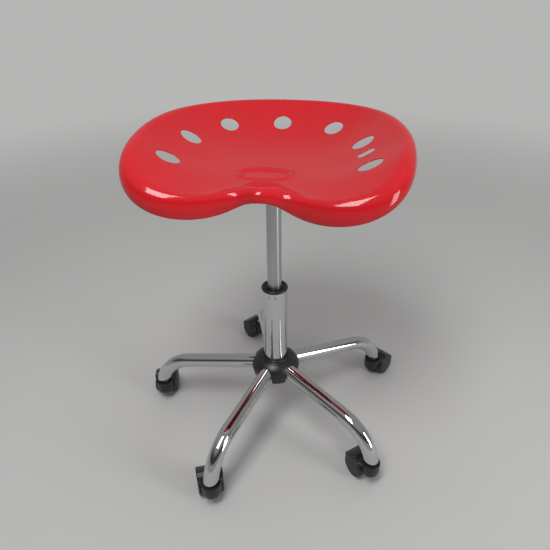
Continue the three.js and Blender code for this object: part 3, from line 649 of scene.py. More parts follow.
def rim_section(at, s):
    """The seat's section at an angle from the back.

    The bowl's height is the edge's height times (distance / edge's distance) to a power, and it meets a
    circular roll where both have the same slope. The lean of that meeting point is found by repeated
    substitution.
    """
    roll = s.roll * rim_series(ROLL_SHARES, at)
    centre = s.reach * rim_series(REACH_SHARES, at) - roll
    height = s.rise * rim_series(RISE_SHARES, at) - roll
    power = s.power + s.power_swing * np.cos(at)
    lean = np.zeros_like(roll)
    for _ in range(LEAN_ROUNDS):
        lean = np.arctan2(power * (height + roll * np.cos(lean)), centre - roll * np.sin(lean))
    return {"roll": roll, "centre": centre, "height": height, "power": power, "lean": lean,
            "edge": centre - roll * np.sin(lean), "edge_height": height + roll * np.cos(lean)}


def bowl_skin(plan, depth, s):
    """Points of the bowl for places in plan, at a depth below the upper face and square to its slope.

    Height = edge height * (distance / edge distance) ** power, plus the raised oval ring's ridge, which is
    rise * cos(a quarter turn * distance from the ridge line / half the band) ** 2 and fades with the depth.
    Inside the ridge line the band is two thirds as wide and runs down into a shallow dish.
    """
    distance = np.hypot(plan[..., 0], plan[..., 1]) + 1e-9
    section = rim_section(np.arctan2(plan[..., 0], plan[..., 1]), s)
    z = section["edge_height"] * (distance / section["edge"]) ** section["power"]
    slope = section["power"] * z / distance
    stretch = s.ring_length / s.ring_width
    off = np.hypot(plan[..., 0] + s.ring_shift, plan[..., 1] * stretch) - s.ring_length / 2
    outside = np.cos(QUARTER * np.clip(off / (s.ring_band / 2), 0, 1)) ** 2 * s.ring_rise
    inside = np.cos(QUARTER * np.clip(-off / (s.ring_band / 3), 0, 1)) ** 2 * (s.ring_rise + s.ring_dish)
    bump = np.where(off > 0, outside, inside - s.ring_dish) * (1 - depth / s.wall)
    size = np.hypot(1, slope)
    flat = plan + plan / distance[..., None] * (depth * slope / size)[..., None]
    return np.concatenate([flat, (s.pan_height + z + bump - depth / size)[..., None]], axis=-1)


def rim_edge(columns, turn_share, radius_off, past, s):
    """Points of the roll: a circle from the bowl's lean to the wrap, at a depth, and past its end."""
    section = rim_section(columns, s)
    at = section["lean"] - (s.wrap + section["lean"]) * turn_share
    radius = section["roll"] - radius_off
    distance = section["centre"] - radius * np.sin(at) + past * np.cos(at)
    height = section["height"] + radius * np.cos(at) + past * np.sin(at)
    return np.stack([distance * np.sin(columns), distance * np.cos(columns), s.pan_height + height], axis=-1)


def hole_window(at, distance, half_length, half_width, s):
    """The grid window that a hole takes out, a margin wider than the hole: first and last row and column."""
    edge = rim_section(np.array([at]), s)["edge"][0]
    spread = (half_width + HOLE_MARGIN) / distance * s.spokes / TURN
    middle = at * s.spokes / TURN
    low = int(np.floor((distance - half_length - HOLE_MARGIN) / edge * (BOWL_ROWS - 1)))
    high = int(np.ceil((distance + half_length + HOLE_MARGIN) / edge * (BOWL_ROWS - 1)))
    return low, min(high, BOWL_ROWS - 1), int(np.floor(middle - spread)), int(np.ceil(middle + spread))


def hole_part(window, at, distance, half_length, half_width, power, plan, s):
    """The ring of quads between a window's border and a hole, through the wall and back to the lower border.

    The hole is a superellipse about its middle. Its border points are carried along straight lines in plan,
    then round a quarter circle of the lip's radius, down the wall, round the lower lip and out again. The
    lower face rises from the wall to the thin wall by half a cosine wave.
    """
    low, high, first, last = window
    k = np.arange(first, last + 1) % s.spokes
    i = np.arange(low, high + 1)
    border = np.concatenate([plan[low, k], plan[i[1:], k[-1]], plan[high, k[-2::-1]],
                             plan[i[-2:0:-1], k[0]]])
    out, side = np.array([np.sin(at), np.cos(at)]), np.array([np.cos(at), -np.sin(at)])
    middle = out * distance
    away = border - middle
    section = {key: value[0] for key, value in rim_section(np.array([at]), s).items()}
    share = (distance / section["edge"]) ** section["power"]
    tilt = 1 / np.hypot(1, section["power"] * section["edge_height"] / distance * share)
    phase = np.arctan2(away @ side / half_width, away @ out / (half_length * tilt))
    cosine, sine = np.cos(phase), np.sin(phase)
    norm = (np.abs(cosine) ** power + np.abs(sine) ** power) ** (-1 / power)

    def ring(offset):
        """The hole's edge, widened by an offset."""
        along, across = (half_length + offset) * tilt * cosine * norm, (half_width + offset) * sine * norm
        return middle + out * along[:, None] + side * across[:, None]

    t = np.linspace(0, 1, BORDER_ROWS)
    spread = border + (ring(s.lip) - border) * t[:, None, None]
    q = np.linspace(0, QUARTER, LIP_ROWS)[1:]
    rounding = [(ring(s.lip * (1 - np.sin(a))), s.lip * (1 - np.cos(a))) for a in q]
    thinned = s.wall - (s.wall - s.thin) * (1 - np.cos(np.pi * t)) / 2
    places = [(row, 0.0) for row in spread] + rounding
    places += [(row, s.thin - depth) for row, depth in reversed(rounding)]
    places += list(zip(spread[::-1], thinned[::-1]))
    return grid(np.stack([bowl_skin(row, np.full(len(row), depth), s) for row, depth in places]))


def seat_parts(s):
    """The moulding: upper bowl, roll, rim edge, lower roll and lower bowl as one grid, then its holes."""
    columns = np.arange(s.spokes) * TURN / s.spokes
    reach = np.linspace(0, 1, BOWL_ROWS)[:, None] * rim_section(columns, s)["edge"]
    plan = np.stack([reach * np.sin(columns), reach * np.cos(columns)], axis=-1)
    upper = bowl_skin(plan, np.zeros_like(reach), s)
    lower = bowl_skin(plan, np.full_like(reach, s.wall), s)
    turns = np.linspace(0, 1, ROLL_ROWS + 1)[1:, None]
    roll_over = rim_edge(columns, turns, 0.0, 0.0, s)
    round_end = np.linspace(0, np.pi, EDGE_ROWS + 2)[1:-1, None]
    edge = rim_edge(columns, 1.0, s.wall / 2 * (1 - np.cos(round_end)), s.wall / 4 * np.sin(round_end), s)
    roll_under = rim_edge(columns, turns, s.wall, 0.0, s)
    points, faces = grid(np.concatenate([upper, roll_over, edge, roll_under[::-1], lower[::-1]]))
    kept = np.ones((len(faces) // s.spokes, s.spokes), bool)
    holes = [(np.radians(at), distance, s.hole_length / 2 * share, s.hole_width / 2, OVAL_POWER)
             for at, distance, share in HOLES]
    holes.append((np.radians(SLOT_ANGLE), SLOT_DISTANCE, s.slot_length / 2, s.slot_width / 2, SLOT_POWER))
    parts = []
    for *hole, power in holes:
        window = hole_window(*hole, s)
        low, high, first, last = window
        across = np.arange(first, last) % s.spokes
        kept[low:high, across] = False
        kept[len(kept) - high:len(kept) - low, across] = False
        parts.append(hole_part(window, *hole, power, plan, s))
    return [(points, faces[kept.ravel()])] + parts


def boss_parts(s):
    """Four bolt bosses under the pan, each a short lathe with a fillet where it meets the shell."""
    depth, fillet, bore = 0.007, 0.004, 0.0033
    low, high = s.pan_height - s.wall - depth, s.pan_height - s.wall / 2
    outline = [(bore, low, 0.0004), (s.boss_radius, low, 0.0008), (s.boss_radius, high - fillet, 0.003),
               (s.boss_radius + fillet, high, 0), (bore, high, 0)]
    half = s.boss_spacing / 2
    return [turned(outline, sides=40, centre=(x, y)) for x in (-half, half) for y in (-half, half)]


def build_seat(context):
    """The red moulding with its holes, slot, raised ring and bosses."""
    s = context.scene.stool_seat
    parts = [(points + (*SEAT_MIDDLE, 0), faces) for points, faces in seat_parts(s) + boss_parts(s)]
    make_piece("bucket_seat", parts, "seat", "seat_red", "seat_shell", crease=70)


# Lift and column

# Grid rows up the outer column, fine enough for the crimps
COLUMN_ROWS = 180
# Turns of the crimps from +X in degrees
CRIMP_ANGLES = (-110.5, -82.3)


def crimped(points, height, s):
    """Column points pressed towards the axis by depth * exp(-(distance / radius) ** 2) at each crimp."""
    flat = points[:, :2] - LIFT_AXIS
    radius = np.hypot(*flat.T)
    at = np.arctan2(flat[:, 1], flat[:, 0])
    pressed = np.zeros(len(points))
    for crimp in CRIMP_ANGLES:
        away = np.hypot((at - np.radians(crimp)) * s.column_radius, points[:, 2] - height)
        pressed += s.dimple_depth * np.exp(-(away / s.dimple_radius) ** 2)
    pressed *= radius > s.column_radius - s.column_wall / 2
    scale = 1 - pressed / np.maximum(radius, 1e-6)
    return np.column_stack([LIFT_AXIS + flat * scale[:, None], points[:, 2]])


def column_outline(low, high, s):
    """The outer column's section: a cup with a hole for the rod, and even rows outside for the crimps."""
    rod_hole, floor_wall, foot_rounding = 0.0053, 0.003, 0.002
    outer, inner, floor = s.column_radius, s.column_radius - s.column_wall, low + floor_wall
    section = rounded([(rod_hole, low, 0.0002), (outer, low, foot_rounding), (outer, high, 0.0006),
                       (inner, high, 0.0005), (inner, floor, 0.001), (rod_hole, floor, 0.0002)])
    heights = np.linspace(low + 2 * foot_rounding, high - foot_rounding, COLUMN_ROWS)
    # The even rows go in where the section has passed the foot's rounding
    row = int(np.argmax(section[:, 1] > low + 1.25 * foot_rounding))
    side = np.column_stack([np.full(COLUMN_ROWS, outer), heights])
    return np.vstack([section[:row], side, section[row:]])


def build_lift(context):
    """Inner tube with its taper, outer column with two crimps, and the collar bush between them."""
    s = context.scene.stool_lift
    low, high = node_heights("gas_cylinder")
    narrowing = 0.0006
    tube = turned([(0, low, 0), (s.lift_radius, low, 0.0012), (s.lift_radius, high - s.taper, 0.004),
                   (s.lift_radius - narrowing, high, 0.0008), (0, high, 0)], s.sides, LIFT_AXIS)
    make_piece("lift_tube", [tube], "seat", "satin_steel", "gas_cylinder")

    low, high = node_heights("outer_column")
    points, faces = lathe(column_outline(low, high, s), 2 * s.sides, LIFT_AXIS)
    make_piece("outer_column_tube", [(crimped(points, high - s.dimple_drop, s), faces)], "base", "chrome",
               "outer_column")

    low, high = node_heights("column_bush")
    bore, plug, flange = 0.01430, 0.0229, 0.0263
    top = high - 0.006
    brim = top + 0.0042
    collar = [(bore, low, 0.0003), (plug, low, 0.0008), (plug, top, 0.0004), (flange, top, 0.0008),
              (flange, brim, 0.0024), (0.0225, high + 0.0003, 0.0026), (0.0182, high - 0.0034, 0.0012),
              (0.0166, high - 0.0038, 0.0006), (0.0158, high - 0.0010, 0.0005),
              (bore, high - 0.0010, 0.0004)]
    make_piece("collar_bush", [turned(collar, s.sides, LIFT_AXIS, steps=8)], "base", "satin_plastic",
               "column_bush")


# Bracket and lever

def hex_bolt(middle, seat_height, tip_height):
    """A flanged hexagon bolt, head down: chamfered head, washer flange and plain shank."""
    head_radius, head_height, shank_radius = 0.0055, 0.004, 0.003
    flange_radius, flange_height = 0.008, 0.0006
    turns = np.arange(6) * TURN / 6
    head = head_radius * np.column_stack([np.cos(turns), np.sin(turns)]) + middle
    under = seat_height - flange_height
    flange = [(0, seat_height - 0.0012, 0), (0.0066, seat_height - 0.0014, 0.0006),
              (flange_radius, under, 0.0003), (flange_radius, seat_height, 0.0001), (0, seat_height, 0)]
    shank = [(0, under, 0), (shank_radius, under, 0), (shank_radius, tip_height, 0.0008), (0, tip_height, 0)]
    body = prism(rounded(evenly(head, 0.0003), 2), seat_height - head_height, under, 0.0007)
    return body + [turned(flange, sides=40, centre=middle), turned(shank, sides=24, centre=middle)]


def both_sides(half):
    """A closed (y, z, rounding) section from the four corners of its +Y half and their mirror image."""
    mirrored = [(-y, z, radius) for y, z, radius in half[::-1]]
    return mirrored[2:] + half + mirrored[:2]


def plate_parts(s):
    """The pressed plate: a flat sheet with round corners and two long sides folded down."""
    low, high = node_box("seat_plate")
    half_x, half_y = (high[:2] - low[:2]) / 2
    bottom, top, inner = high[2] - s.sheet, high[2], half_y - s.sheet
    edge, fold, inner_fold, corner = 0.0004, 0.004, 0.0015, 0.014
    half = [(half_y, top, fold), (half_y, low[2], edge), (inner, low[2], edge), (inner, bottom, inner_fold)]
    side = half_y - fold
    corners = [(-half_x, -side), (half_x, -side), (half_x, side), (-half_x, side)]
    flanged = channel(rounded(both_sides(half), 6), half_x - corner)
    return flanged + prism(rounded(evenly(corners, corner), 8), bottom, top, edge)


def tray_parts(s):
    """The folded tray, the socket that grips the lift, and the two ears that hold the lever's pin."""
    low, high = node_box("lift_tray")
    half_x, half_y = (high[:2] - low[:2]) / 2
    floor, rim, inner = high[2] - s.tray_depth, high[2], half_y - s.tray_wall
    inside = floor + s.tray_wall
    edge, fold, inner_fold = 0.0005, 0.005, 0.0028
    half = [(half_y, floor, fold), (half_y, rim, edge), (inner, rim, edge), (inner, inside, inner_fold)]
    bore, socket, weld = s.lift_radius + 0.0002, 0.0185, 0.0215
    socket_top = inside + 0.0055
    sleeve = [(bore, low[2], 0.0004), (socket, low[2], 0.001), (socket, floor - 0.0003, 0.0015),
              (weld, floor, 0), (weld, inside, 0), (socket, inside, 0.001), (socket, socket_top, 0.0008),
              (bore, socket_top, 0.0004)]
    ear_top = middle_of("lever_pin")[2] + 0.0057
    ear = np.array([(0.0235, 0.0053), (0.0365, 0.0053), (0.0365, 0.0083), (0.0235, 0.0083)])
    ears = [prism(ear * (1, side), inside - 0.0004, ear_top, 0.0006) for side in (-1, 1)]
    folded = channel(rounded(both_sides(half), 6), half_x)
    return folded + [turned(sleeve, sides=72, steps=6)] + ears[0] + ears[1]


def build_bracket(context):
    """The pressed plate under the seat, its bolts, and the folded tray that grips the lift."""
    s = context.scene.stool_lift
    crease = 50
    make_piece("seat_bracket_plate", [moved(part, AT_SEAT) for part in plate_parts(s)], "seat",
               "black_steel", "seat_plate", crease)
    bolt_seat = node_heights("seat_plate")[1] - s.sheet - 0.0003
    for number in range(1, 5):
        node = f"seat_bolt_{number}"
        bolt = hex_bolt(middle_of(node)[:2], bolt_seat, node_heights(node)[1])
        make_piece(f"flange_bolt_{number}", bolt, "seat", "zinc_steel", node)
    tray = make_piece("folded_tray", [moved(part, AT_LIFT) for part in tray_parts(s)], "seat",
                      "black_steel", "lift_tray", crease)
    rounding = tray.modifiers.new("Rounded edges", "BEVEL")
    rounding.width, rounding.segments, rounding.limit_method = 0.0003, 3, "ANGLE"
    rounding.angle_limit = np.radians(crease)
    rounding.harden_normals = True


def grip_outline(start, end, s):
    """The grip's outline along the rod: radius * (1 - waist * cos(wave) ** 2) plus fine ribs.

    The wave runs through a full turn between a tenth and nine tenths of the length, and the ribs are cosine
    waves. Both ends close by quarter ellipses.
    """
    rows, rib_count, rib_height = 140, 9, 0.00045
    waist, ribbed_share, end_share = 0.10, 0.32, 0.08
    t = np.linspace(0, 1, rows)
    off = np.abs(t - 0.5)
    swell = s.grip_radius * (1 - waist * np.cos(TURN * np.clip((t - 0.1) / 0.8, 0, 1)) ** 2)
    ridges = rib_height * np.cos(TURN * rib_count * t) * (off < ribbed_share)
    ends = np.sqrt(np.clip(1 - (np.clip(off - (0.5 - end_share), 0, 1) / end_share) ** 2, 0, 1))
    radius = np.minimum((swell + ridges) * ends, s.grip_radius)
    return np.vstack([(0, start), np.column_stack([radius, start + t * (end - start)]), (0, end)])


def build_lever(context):
    """The release lever: a flattened paddle, a round rod, and a ribbed grip with rounded ends."""
    s = context.scene.stool_lift
    x, y = LIFT_AXIS
    height = middle_of("lever_pin")[2]
    rod_start, pin_place, half_paddle = 0.010, 0.030, 0.002
    pin_hole, eye_radius, half_eye = 0.0029, 0.006, 0.005
    along = lying("X", x, y, height)
    end = node_box("release_lever")[1][0] - x
    rod = turned([(0, rod_start, 0), (s.lever_radius, rod_start, 0.002), (s.lever_radius, end, 0.0008),
                  (0, end, 0)], sides=48)
    eye = turned(evenly([(pin_hole, -half_eye), (eye_radius, -half_eye), (eye_radius, half_eye),
                         (pin_hole, half_eye)], 0.0005), sides=48)
    half = [(0.026, 0.004, 0.002), (0.016, 0.007, 0.004), (-0.008, 0.007, 0.003)]
    paddle = rounded([(across, -up, radius) for across, up, radius in half[::-1]] + half, 6)
    flat = prism(paddle, height - half_paddle, height + half_paddle, 0.0006)
    parts = [moved(rod, along), moved(eye, lying("Y", x + pin_place, y, height))]
    make_piece("lever_rod", parts + [moved(part, AT_LIFT) for part in flat], "lever", "black_steel",
               "release_lever")
    low, high = node_box("lever_grip")
    grip = lathe(grip_outline(low[0] - x, high[0] - x, s), sides=56)
    make_piece("ribbed_grip", [moved(grip, along)], "lever", "black_plastic", "lever_grip")


# Base

def leg_azimuths(s):
    """Directions of the legs from +X."""
    return s.phase + np.arange(s.legs) * TURN / s.legs


def leg_height(distance, s):
    """Height of a leg's straight middle line at a distance from the lift's axis."""
    return s.start_height - (distance - s.hub_radius) * np.tan(s.fall)


def bend_centre(s):
    """Distance and height of the middle of a leg's bend, which touches the falling and the upright line."""
    set_back = s.bend * np.tan((QUARTER - s.fall) / 2)
    return s.foot - s.bend, leg_height(s.foot, s) - set_back


def leg_skin(radius, s):
    """Rings of a leg's tube at a radius, from the sleeve to the slanting cut, as (rings, points round, 3).

    The straight part follows the falling middle line. In the bend a point at height lift above the line
    turns about the bend's centre at radius bend + lift, and its last angle a solves
    (bend + lift) * (cos a - m sin a) = K by one arc cosine, where m is the cut's slope and K is the cut's
    height over the centre.
    """
    k = np.arange(s.sides) * TURN / s.sides
    side, lift = radius * np.cos(k), radius * np.sin(k)
    centre_x, centre_z = bend_centre(s)
    past_sleeve, straight_rows, bend_rows = 0.0005, 14, 40
    slope = (s.heel - s.toe) / (2 * s.leg_radius)
    reach = s.toe - centre_z + (s.foot + s.leg_radius - centre_x) * slope
    last = -np.arccos(reach / ((s.bend + lift) * np.hypot(1, slope))) - np.arctan(slope)
    bend_start = centre_x + s.bend * np.sin(s.fall)
    line_x = np.linspace(s.hub_radius + past_sleeve, bend_start, straight_rows)[:-1, None]
    a = -s.fall + (last + s.fall) * np.linspace(0, 1, bend_rows)[:, None]
    x = np.vstack([line_x + lift * np.sin(s.fall), centre_x - (s.bend + lift) * np.sin(a)])
    z = np.vstack([leg_height(line_x, s) + lift * np.cos(s.fall), centre_z + (s.bend + lift) * np.cos(a)])
    return np.stack([x, np.broadcast_to(side, x.shape), z], axis=-1)


def build_legs(context):
    """Five bent tubes with their slanting cut ends."""
    s = context.scene.stool_base
    outer = leg_skin(s.leg_radius, s)
    inner = leg_skin(s.leg_radius - s.leg_wall, s)
    rim = (outer[-1:] + inner[-1:]) / 2
    tube = grid(np.concatenate([outer, rim, inner[::-1]]), loop_rows=True)
    for number, azimuth in enumerate(leg_azimuths(s), 1):
        make_piece(f"bent_leg_{number}", [moved(tube, upright_turn(azimuth, *LIFT_AXIS))], "base", "chrome",
                   f"leg_{number}", crease=45)


def cover_radius_at(z, s):
    """The hub cover's radius at a height: an elliptic dome above its widest height, a taper below it."""
    rise = np.clip((z - s.cover_widest) / s.cover_dome, 0, 1)
    share = np.clip((z - s.cover_skirt) / (s.cover_widest - s.cover_skirt), 0, 1)
    skirt = s.cover_waist + (s.cover_radius - s.cover_waist) * share
    return np.where(z > s.cover_widest, s.cover_radius * np.sqrt(1 - rise ** 2), skirt)


def build_hub(context):
    """The domed cover, open to the legs through arched slots.

    Upper rows go round evenly. Below the shoulder each column runs down the dome to its own point on the
    lower edge, which follows the skirt between the legs and rises over each leg as an arch.
    """
    s = context.scene.stool_base
    clearance, lip_height, lip_width, lip_floor = 0.0003, 0.004, 0.0042, 0.003
    arch_points, side_points, dome_rows = 14, 8, 29
    sector = TURN / s.legs / 2
    arch_radius, arch_height = s.leg_radius + clearance, leg_height(s.cover_radius, s)
    beta = np.linspace(0, QUARTER, arch_points)
    over = np.column_stack([arch_radius * np.sin(beta), arch_height + arch_radius * np.cos(beta)])
    down = np.linspace(arch_height, s.cover_skirt, side_points + 1)[1:]
    edge = np.vstack([over, np.column_stack([np.full(side_points, arch_radius), down])])
    turns = np.arcsin(np.clip(edge[:, 0] / cover_radius_at(edge[:, 1], s), -1, 1))
    span = np.linspace(turns[-1], sector, side_points + 1)[1:]
    half_turn = np.concatenate([turns, span])
    half_height = np.concatenate([edge[:, 1], np.full(len(span), s.cover_skirt)])
    both_turn = np.concatenate([-half_turn[-2:0:-1], half_turn])
    both_height = np.concatenate([half_height[-2:0:-1], half_height])
    azimuths = leg_azimuths(s)[:, None]
    lower_turn, lower_height = (azimuths + both_turn).ravel(), np.tile(both_height, s.legs)
    upper_turn = (azimuths + np.linspace(-sector, sector, len(both_turn) + 1)[1:]).ravel()

    shoulder = s.cover_top - lip_height
    shoulder_turn = np.arcsin((shoulder - s.cover_widest) / s.cover_dome)
    start = s.cover_radius * np.cos(shoulder_turn), s.cover_widest + s.cover_dome * np.sin(shoulder_turn)
    hole = s.cover_lip - lip_width
    lip = rounded([(hole, s.cover_top - lip_floor, 0), (hole, s.cover_top, 0.0008),
                   (s.cover_lip, s.cover_top, 0.0016), (s.cover_lip, shoulder, 0.0022), (*start, 0)], 6)
    radii, heights, at = lip[:, :1], lip[:, 1:], upper_turn[None]
    top = np.stack([radii * np.cos(at), radii * np.sin(at), heights + 0 * at], axis=-1)
    t = np.linspace(0, 1, dome_rows + 1)[1:, None]
    z = start[1] + (lower_height - start[1]) * t
    at = upper_turn + (lower_turn - upper_turn) * t
    radii = cover_radius_at(z, s)
    dome = np.stack([radii * np.cos(at), radii * np.sin(at), z], axis=-1)
    cover = make_piece("domed_hub_cover", [moved(grid(np.concatenate([top, dome])), AT_LIFT)], "base",
                       "satin_plastic", "hub_cover", crease=50)
    wall = cover.modifiers.new("Wall", "SOLIDIFY")
    wall.thickness, wall.offset, wall.use_even_offset = s.cover_wall, -1, False


# Casters

def build_stems(context):
    """The zinc socket in each foot, cut to the bend's inside, and the stem with its flange.

    The socket's upper edge is at centre height + (inside radius ** 2 - distance from centre ** 2) ** 0.5.
    """
    s = context.scene.stool_base
    sides, edge, clearance, wall_gap = 40, 0.0004, 0.0003, 0.0004
    radius, bore, bore_depth, sleeve = 0.008, 0.0058, 0.024, 0.010
    neck, flange, flange_height, stem_radius = 0.004, 0.009, 0.0016, 0.0055
    bottom = node_heights("caster_socket_1")[0]
    centre_x, centre_z = bend_centre(s)
    inside = s.bend + s.leg_radius - s.leg_wall - wall_gap
    a = np.arange(sides) * TURN / sides

    def level(size, z):
        """A ring of this radius about the foot, at a height."""
        return np.column_stack([s.foot + size * np.cos(a), size * np.sin(a), np.broadcast_to(z, sides)])

    ceiling = centre_z + np.sqrt(inside ** 2 - (s.foot + radius * np.cos(a) - centre_x) ** 2)
    rows = [level(bore, bottom + bore_depth), level(bore, bottom + edge), level(bore, bottom),
            level(radius, bottom + edge), level(radius, bottom + sleeve), level(radius, ceiling),
            level(0, ceiling.mean()), level(0, bottom + bore_depth)]
    socket = grid(np.stack(rows), loop_rows=True)
    low, high = node_heights("caster_stem_1")
    top = bottom - clearance
    stem = turned([(0, low, 0), (neck, low, 0.0008), (neck, top - flange_height, 0.0002),
                   (flange, top - flange_height, 0.0004), (flange, top, 0.0004), (stem_radius, top, 0.0006),
                   (stem_radius, high, 0.0014), (0, high, 0)], sides, (s.foot, 0))
    for number, azimuth in enumerate(leg_azimuths(s), 1):
        place = upright_turn(azimuth, *LIFT_AXIS)
        make_piece(f"foot_socket_{number}", [moved(socket, place)], "base", "zinc_steel",
                   f"caster_socket_{number}")
        make_piece(f"flanged_stem_{number}", [moved(stem, place)], "base", "zinc_steel",
                   f"caster_stem_{number}")


def hood_outline(s, inset=0.0, points=120):
    """The hood in plan: round about the stem in front, widening to the full width and straight behind."""
    nose, half, rear = s.hood_nose - inset, s.width / 2 - inset, s.hood_rear - inset
    nose_end, nose_points, shoulder_x, shoulder_rounding = np.radians(78), 26, 0.0125, 0.007
    a = np.linspace(nose_end, TURN - nose_end, nose_points)
    front = evenly(nose * np.column_stack([np.cos(a), np.sin(a)]), 0.001)
    back = [(shoulder_x, -half, shoulder_rounding), (rear, -half, s.hood_corner),
            (rear, half, s.hood_corner), (shoulder_x, half, shoulder_rounding)]
    curve = rounded(np.vstack([front, back]))
    closed = np.vstack([curve, curve[:1]])
    step = np.concatenate([[0], np.cumsum(np.hypot(*np.diff(closed, axis=0).T))])
    even = np.linspace(0, step[-1], points, endpoint=False)
    return np.column_stack([np.interp(even, step, closed[:, 0]), np.interp(even, step, closed[:, 1])])


def smooth(share):
    """A share eased in and out: 3 share ** 2 - 2 share ** 3, held at nought and one outside."""
    share = np.clip(share, 0, 1)
    return 3 * share ** 2 - 2 * share ** 3


def hood_height(x, s):
    """Height of the hood's top along its length: a shelf, a smooth rise to the crown and a falling rear.

    The rear falls by 0.35 of the drop evenly and by the rest with the square of the distance.
    """
    crown = s.trail + 0.001
    climb = (s.hood_crown - s.hood_top) * smooth((x - s.hood_shelf) / (crown - s.hood_shelf))
    fall = np.clip((x - crown) / (s.hood_rear - crown), 0, 1)
    return s.hood_top + climb - (s.hood_crown - s.hood_tail) * (0.35 * fall + 0.65 * fall ** 2)


def hood_skirt(plan, s):
    """Height of the hood's lower edge: a round shield in front, a lip over the wheels and a deeper rear.

    The shield's depth follows a squarish quarter curve, (1 - share ** 6) ** 0.5, over its angle.
    """
    x, top = plan[:, 0], hood_height(plan[:, 0], s)
    rear_length, rear_depth, squareness = 0.006, 0.0040, 6
    turned_share = np.abs(np.arctan2(plan[:, 1], -x)) / s.shield_spread
    shield = np.clip(1 - turned_share ** squareness, 0, 1) ** 0.5
    rear = smooth((x - s.hood_rear + rear_length) / rear_length)
    return top - (s.hood_lip + (s.shield_depth - s.hood_lip) * shield + rear_depth * rear)


def hood_part(s):
    """The hood as one closed shell over its plan outline.

    Rings shrink towards a point just in front of the axle on the upper and lower faces. The upper edge turns
    a quarter circle into the skirt, which hangs to the lower edge, and the inner face follows at the wall's
    thickness.
    """
    pole_lead, face_rows, edge_rows = 0.004, 16, 7
    pole = np.array([s.trail - pole_lead, 0.0])
    outer, inner, flat = hood_outline(s), hood_outline(s, s.hood_wall), hood_outline(s, s.hood_edge)
    shares = np.linspace(0, 1, face_rows)[:, None, None]

    def lifted(plan, drop=0.0):
        """Places in plan at the height of the hood's top, lowered by a drop."""
        return np.column_stack([plan, hood_height(plan[:, 0], s) - drop])

    rows = [lifted(plan) for plan in pole + (flat - pole) * shares]
    crest = hood_height(flat[:, 0], s)
    for a in np.linspace(0, QUARTER, edge_rows)[1:]:
        plan = flat + (outer - flat) * np.sin(a)
        rows.append(np.column_stack([plan, crest - s.hood_edge * (1 - np.cos(a))]))
    brim, bottom = rows[-1][:, 2], hood_skirt(outer, s)
    for t, plan in ((0.5, outer), (0.9, outer), (1.0, outer * 0.7 + inner * 0.3)):
        rows.append(np.column_stack([plan, brim + (bottom - brim) * t]))
    rows.append(np.column_stack([inner, bottom]))
    rows.append(lifted(inner, s.hood_wall + 0.0006))
    rows += [lifted(plan, s.hood_wall) for plan in (pole + (inner - pole) * shares[::-1])[1:]]
    return grid(np.stack(rows))


def web_parts(s):
    """The hood's middle web with its axle eye, the boss round the stem, and the cup with its floor of
    painted shadow.
    """
    inner, under = s.hood_rear - 0.003, s.hood_top - 0.001
    profile = [(-0.0100, s.hood_top - 0.004), (-0.0095, 0.030), (0.004, 0.0205), (s.trail - 0.004, 0.0165),
               (s.trail + 0.007, 0.0175), (s.trail + 0.0205, 0.033), (inner, s.hood_tail - 0.008),
               (inner, s.hood_tail - 0.002), (s.trail, s.hood_crown - 0.001), (s.hood_shelf, under),
               (0.0, under)]
    web = prism(rounded(evenly(profile, 0.003)), -s.web / 2, s.web / 2, 0.0005)
    stem_bore, boss_radius, boss_low = 0.0043, 0.0085, 0.0335
    boss = [(stem_bore, boss_low, 0.0003), (boss_radius, boss_low, 0.0015), (boss_radius, under, 0),
            (stem_bore, under, 0)]
    rim, rise, thin = s.cup_radius, s.hood_top + s.cup_rise, 0.0011
    cup = [(rim - thin, s.hood_top - 0.0012, 0), (rim, s.hood_top - 0.0024, 0), (rim, rise, 0.0005),
           (rim - thin, rise, 0.0004)]
    # The cup's floor is a thin near-black disc in the second finish: painted shadow under the leg's end.
    hole, wide, low, high = 0.0095, rim - 0.0006, s.hood_top - 0.0006, s.hood_top + 0.0005
    floor = turned(evenly([(hole, low), (wide, low), (wide, high), (hole, high)], 0.0002), sides=48)
    axle_hole, eye_radius, half_eye = 0.0029, 0.0075, 0.0034
    eye = turned(evenly([(axle_hole, -half_eye), (eye_radius, -half_eye), (eye_radius, half_eye),
                         (axle_hole, half_eye)], 0.0004), sides=40)
    upright = np.array(Matrix.Rotation(QUARTER, 4, "X"))
    round_parts = [turned(boss, sides=40), turned(cup, sides=64), (*floor, 1)]
    eye = moved(eye, lying("Y", s.trail, 0, s.wheel_radius))
    return [moved(part, upright) for part in web] + round_parts + [eye]


def wheel_outline(s):
    """A wheel's outline about its axle: flat inner face, tread, rounded shoulder, groove and domed disc."""
    inner, outer = s.web / 2 + s.gap, s.width / 2 - 0.0008
    bore, bore_end, r = 0.0028, inner + 0.0123, s.wheel_radius
    shoulder = [(r, outer - s.shoulder, 0.0028), (r - 0.0016, outer - 0.0004, 0.0012),
                (r - 0.0040, outer, 0.0008)]
    groove = [(r - 0.0046, outer - 0.0010, 0.0003), (r - 0.0052, outer - 0.0010, 0.0003),
              (r - 0.0060, outer - 0.0002, 0.0006)]
    disc = [(0.012, outer + 0.0003, 0.004), (0, outer + 0.0006, 0), (0, bore_end, 0),
            (bore, bore_end, 0.0003)]
    face = [(bore, inner, 0.0004), (r - 0.004, inner, 0.001), (r, inner, 0.0022)]
    return rounded(face + shoulder + groove + disc, 6)


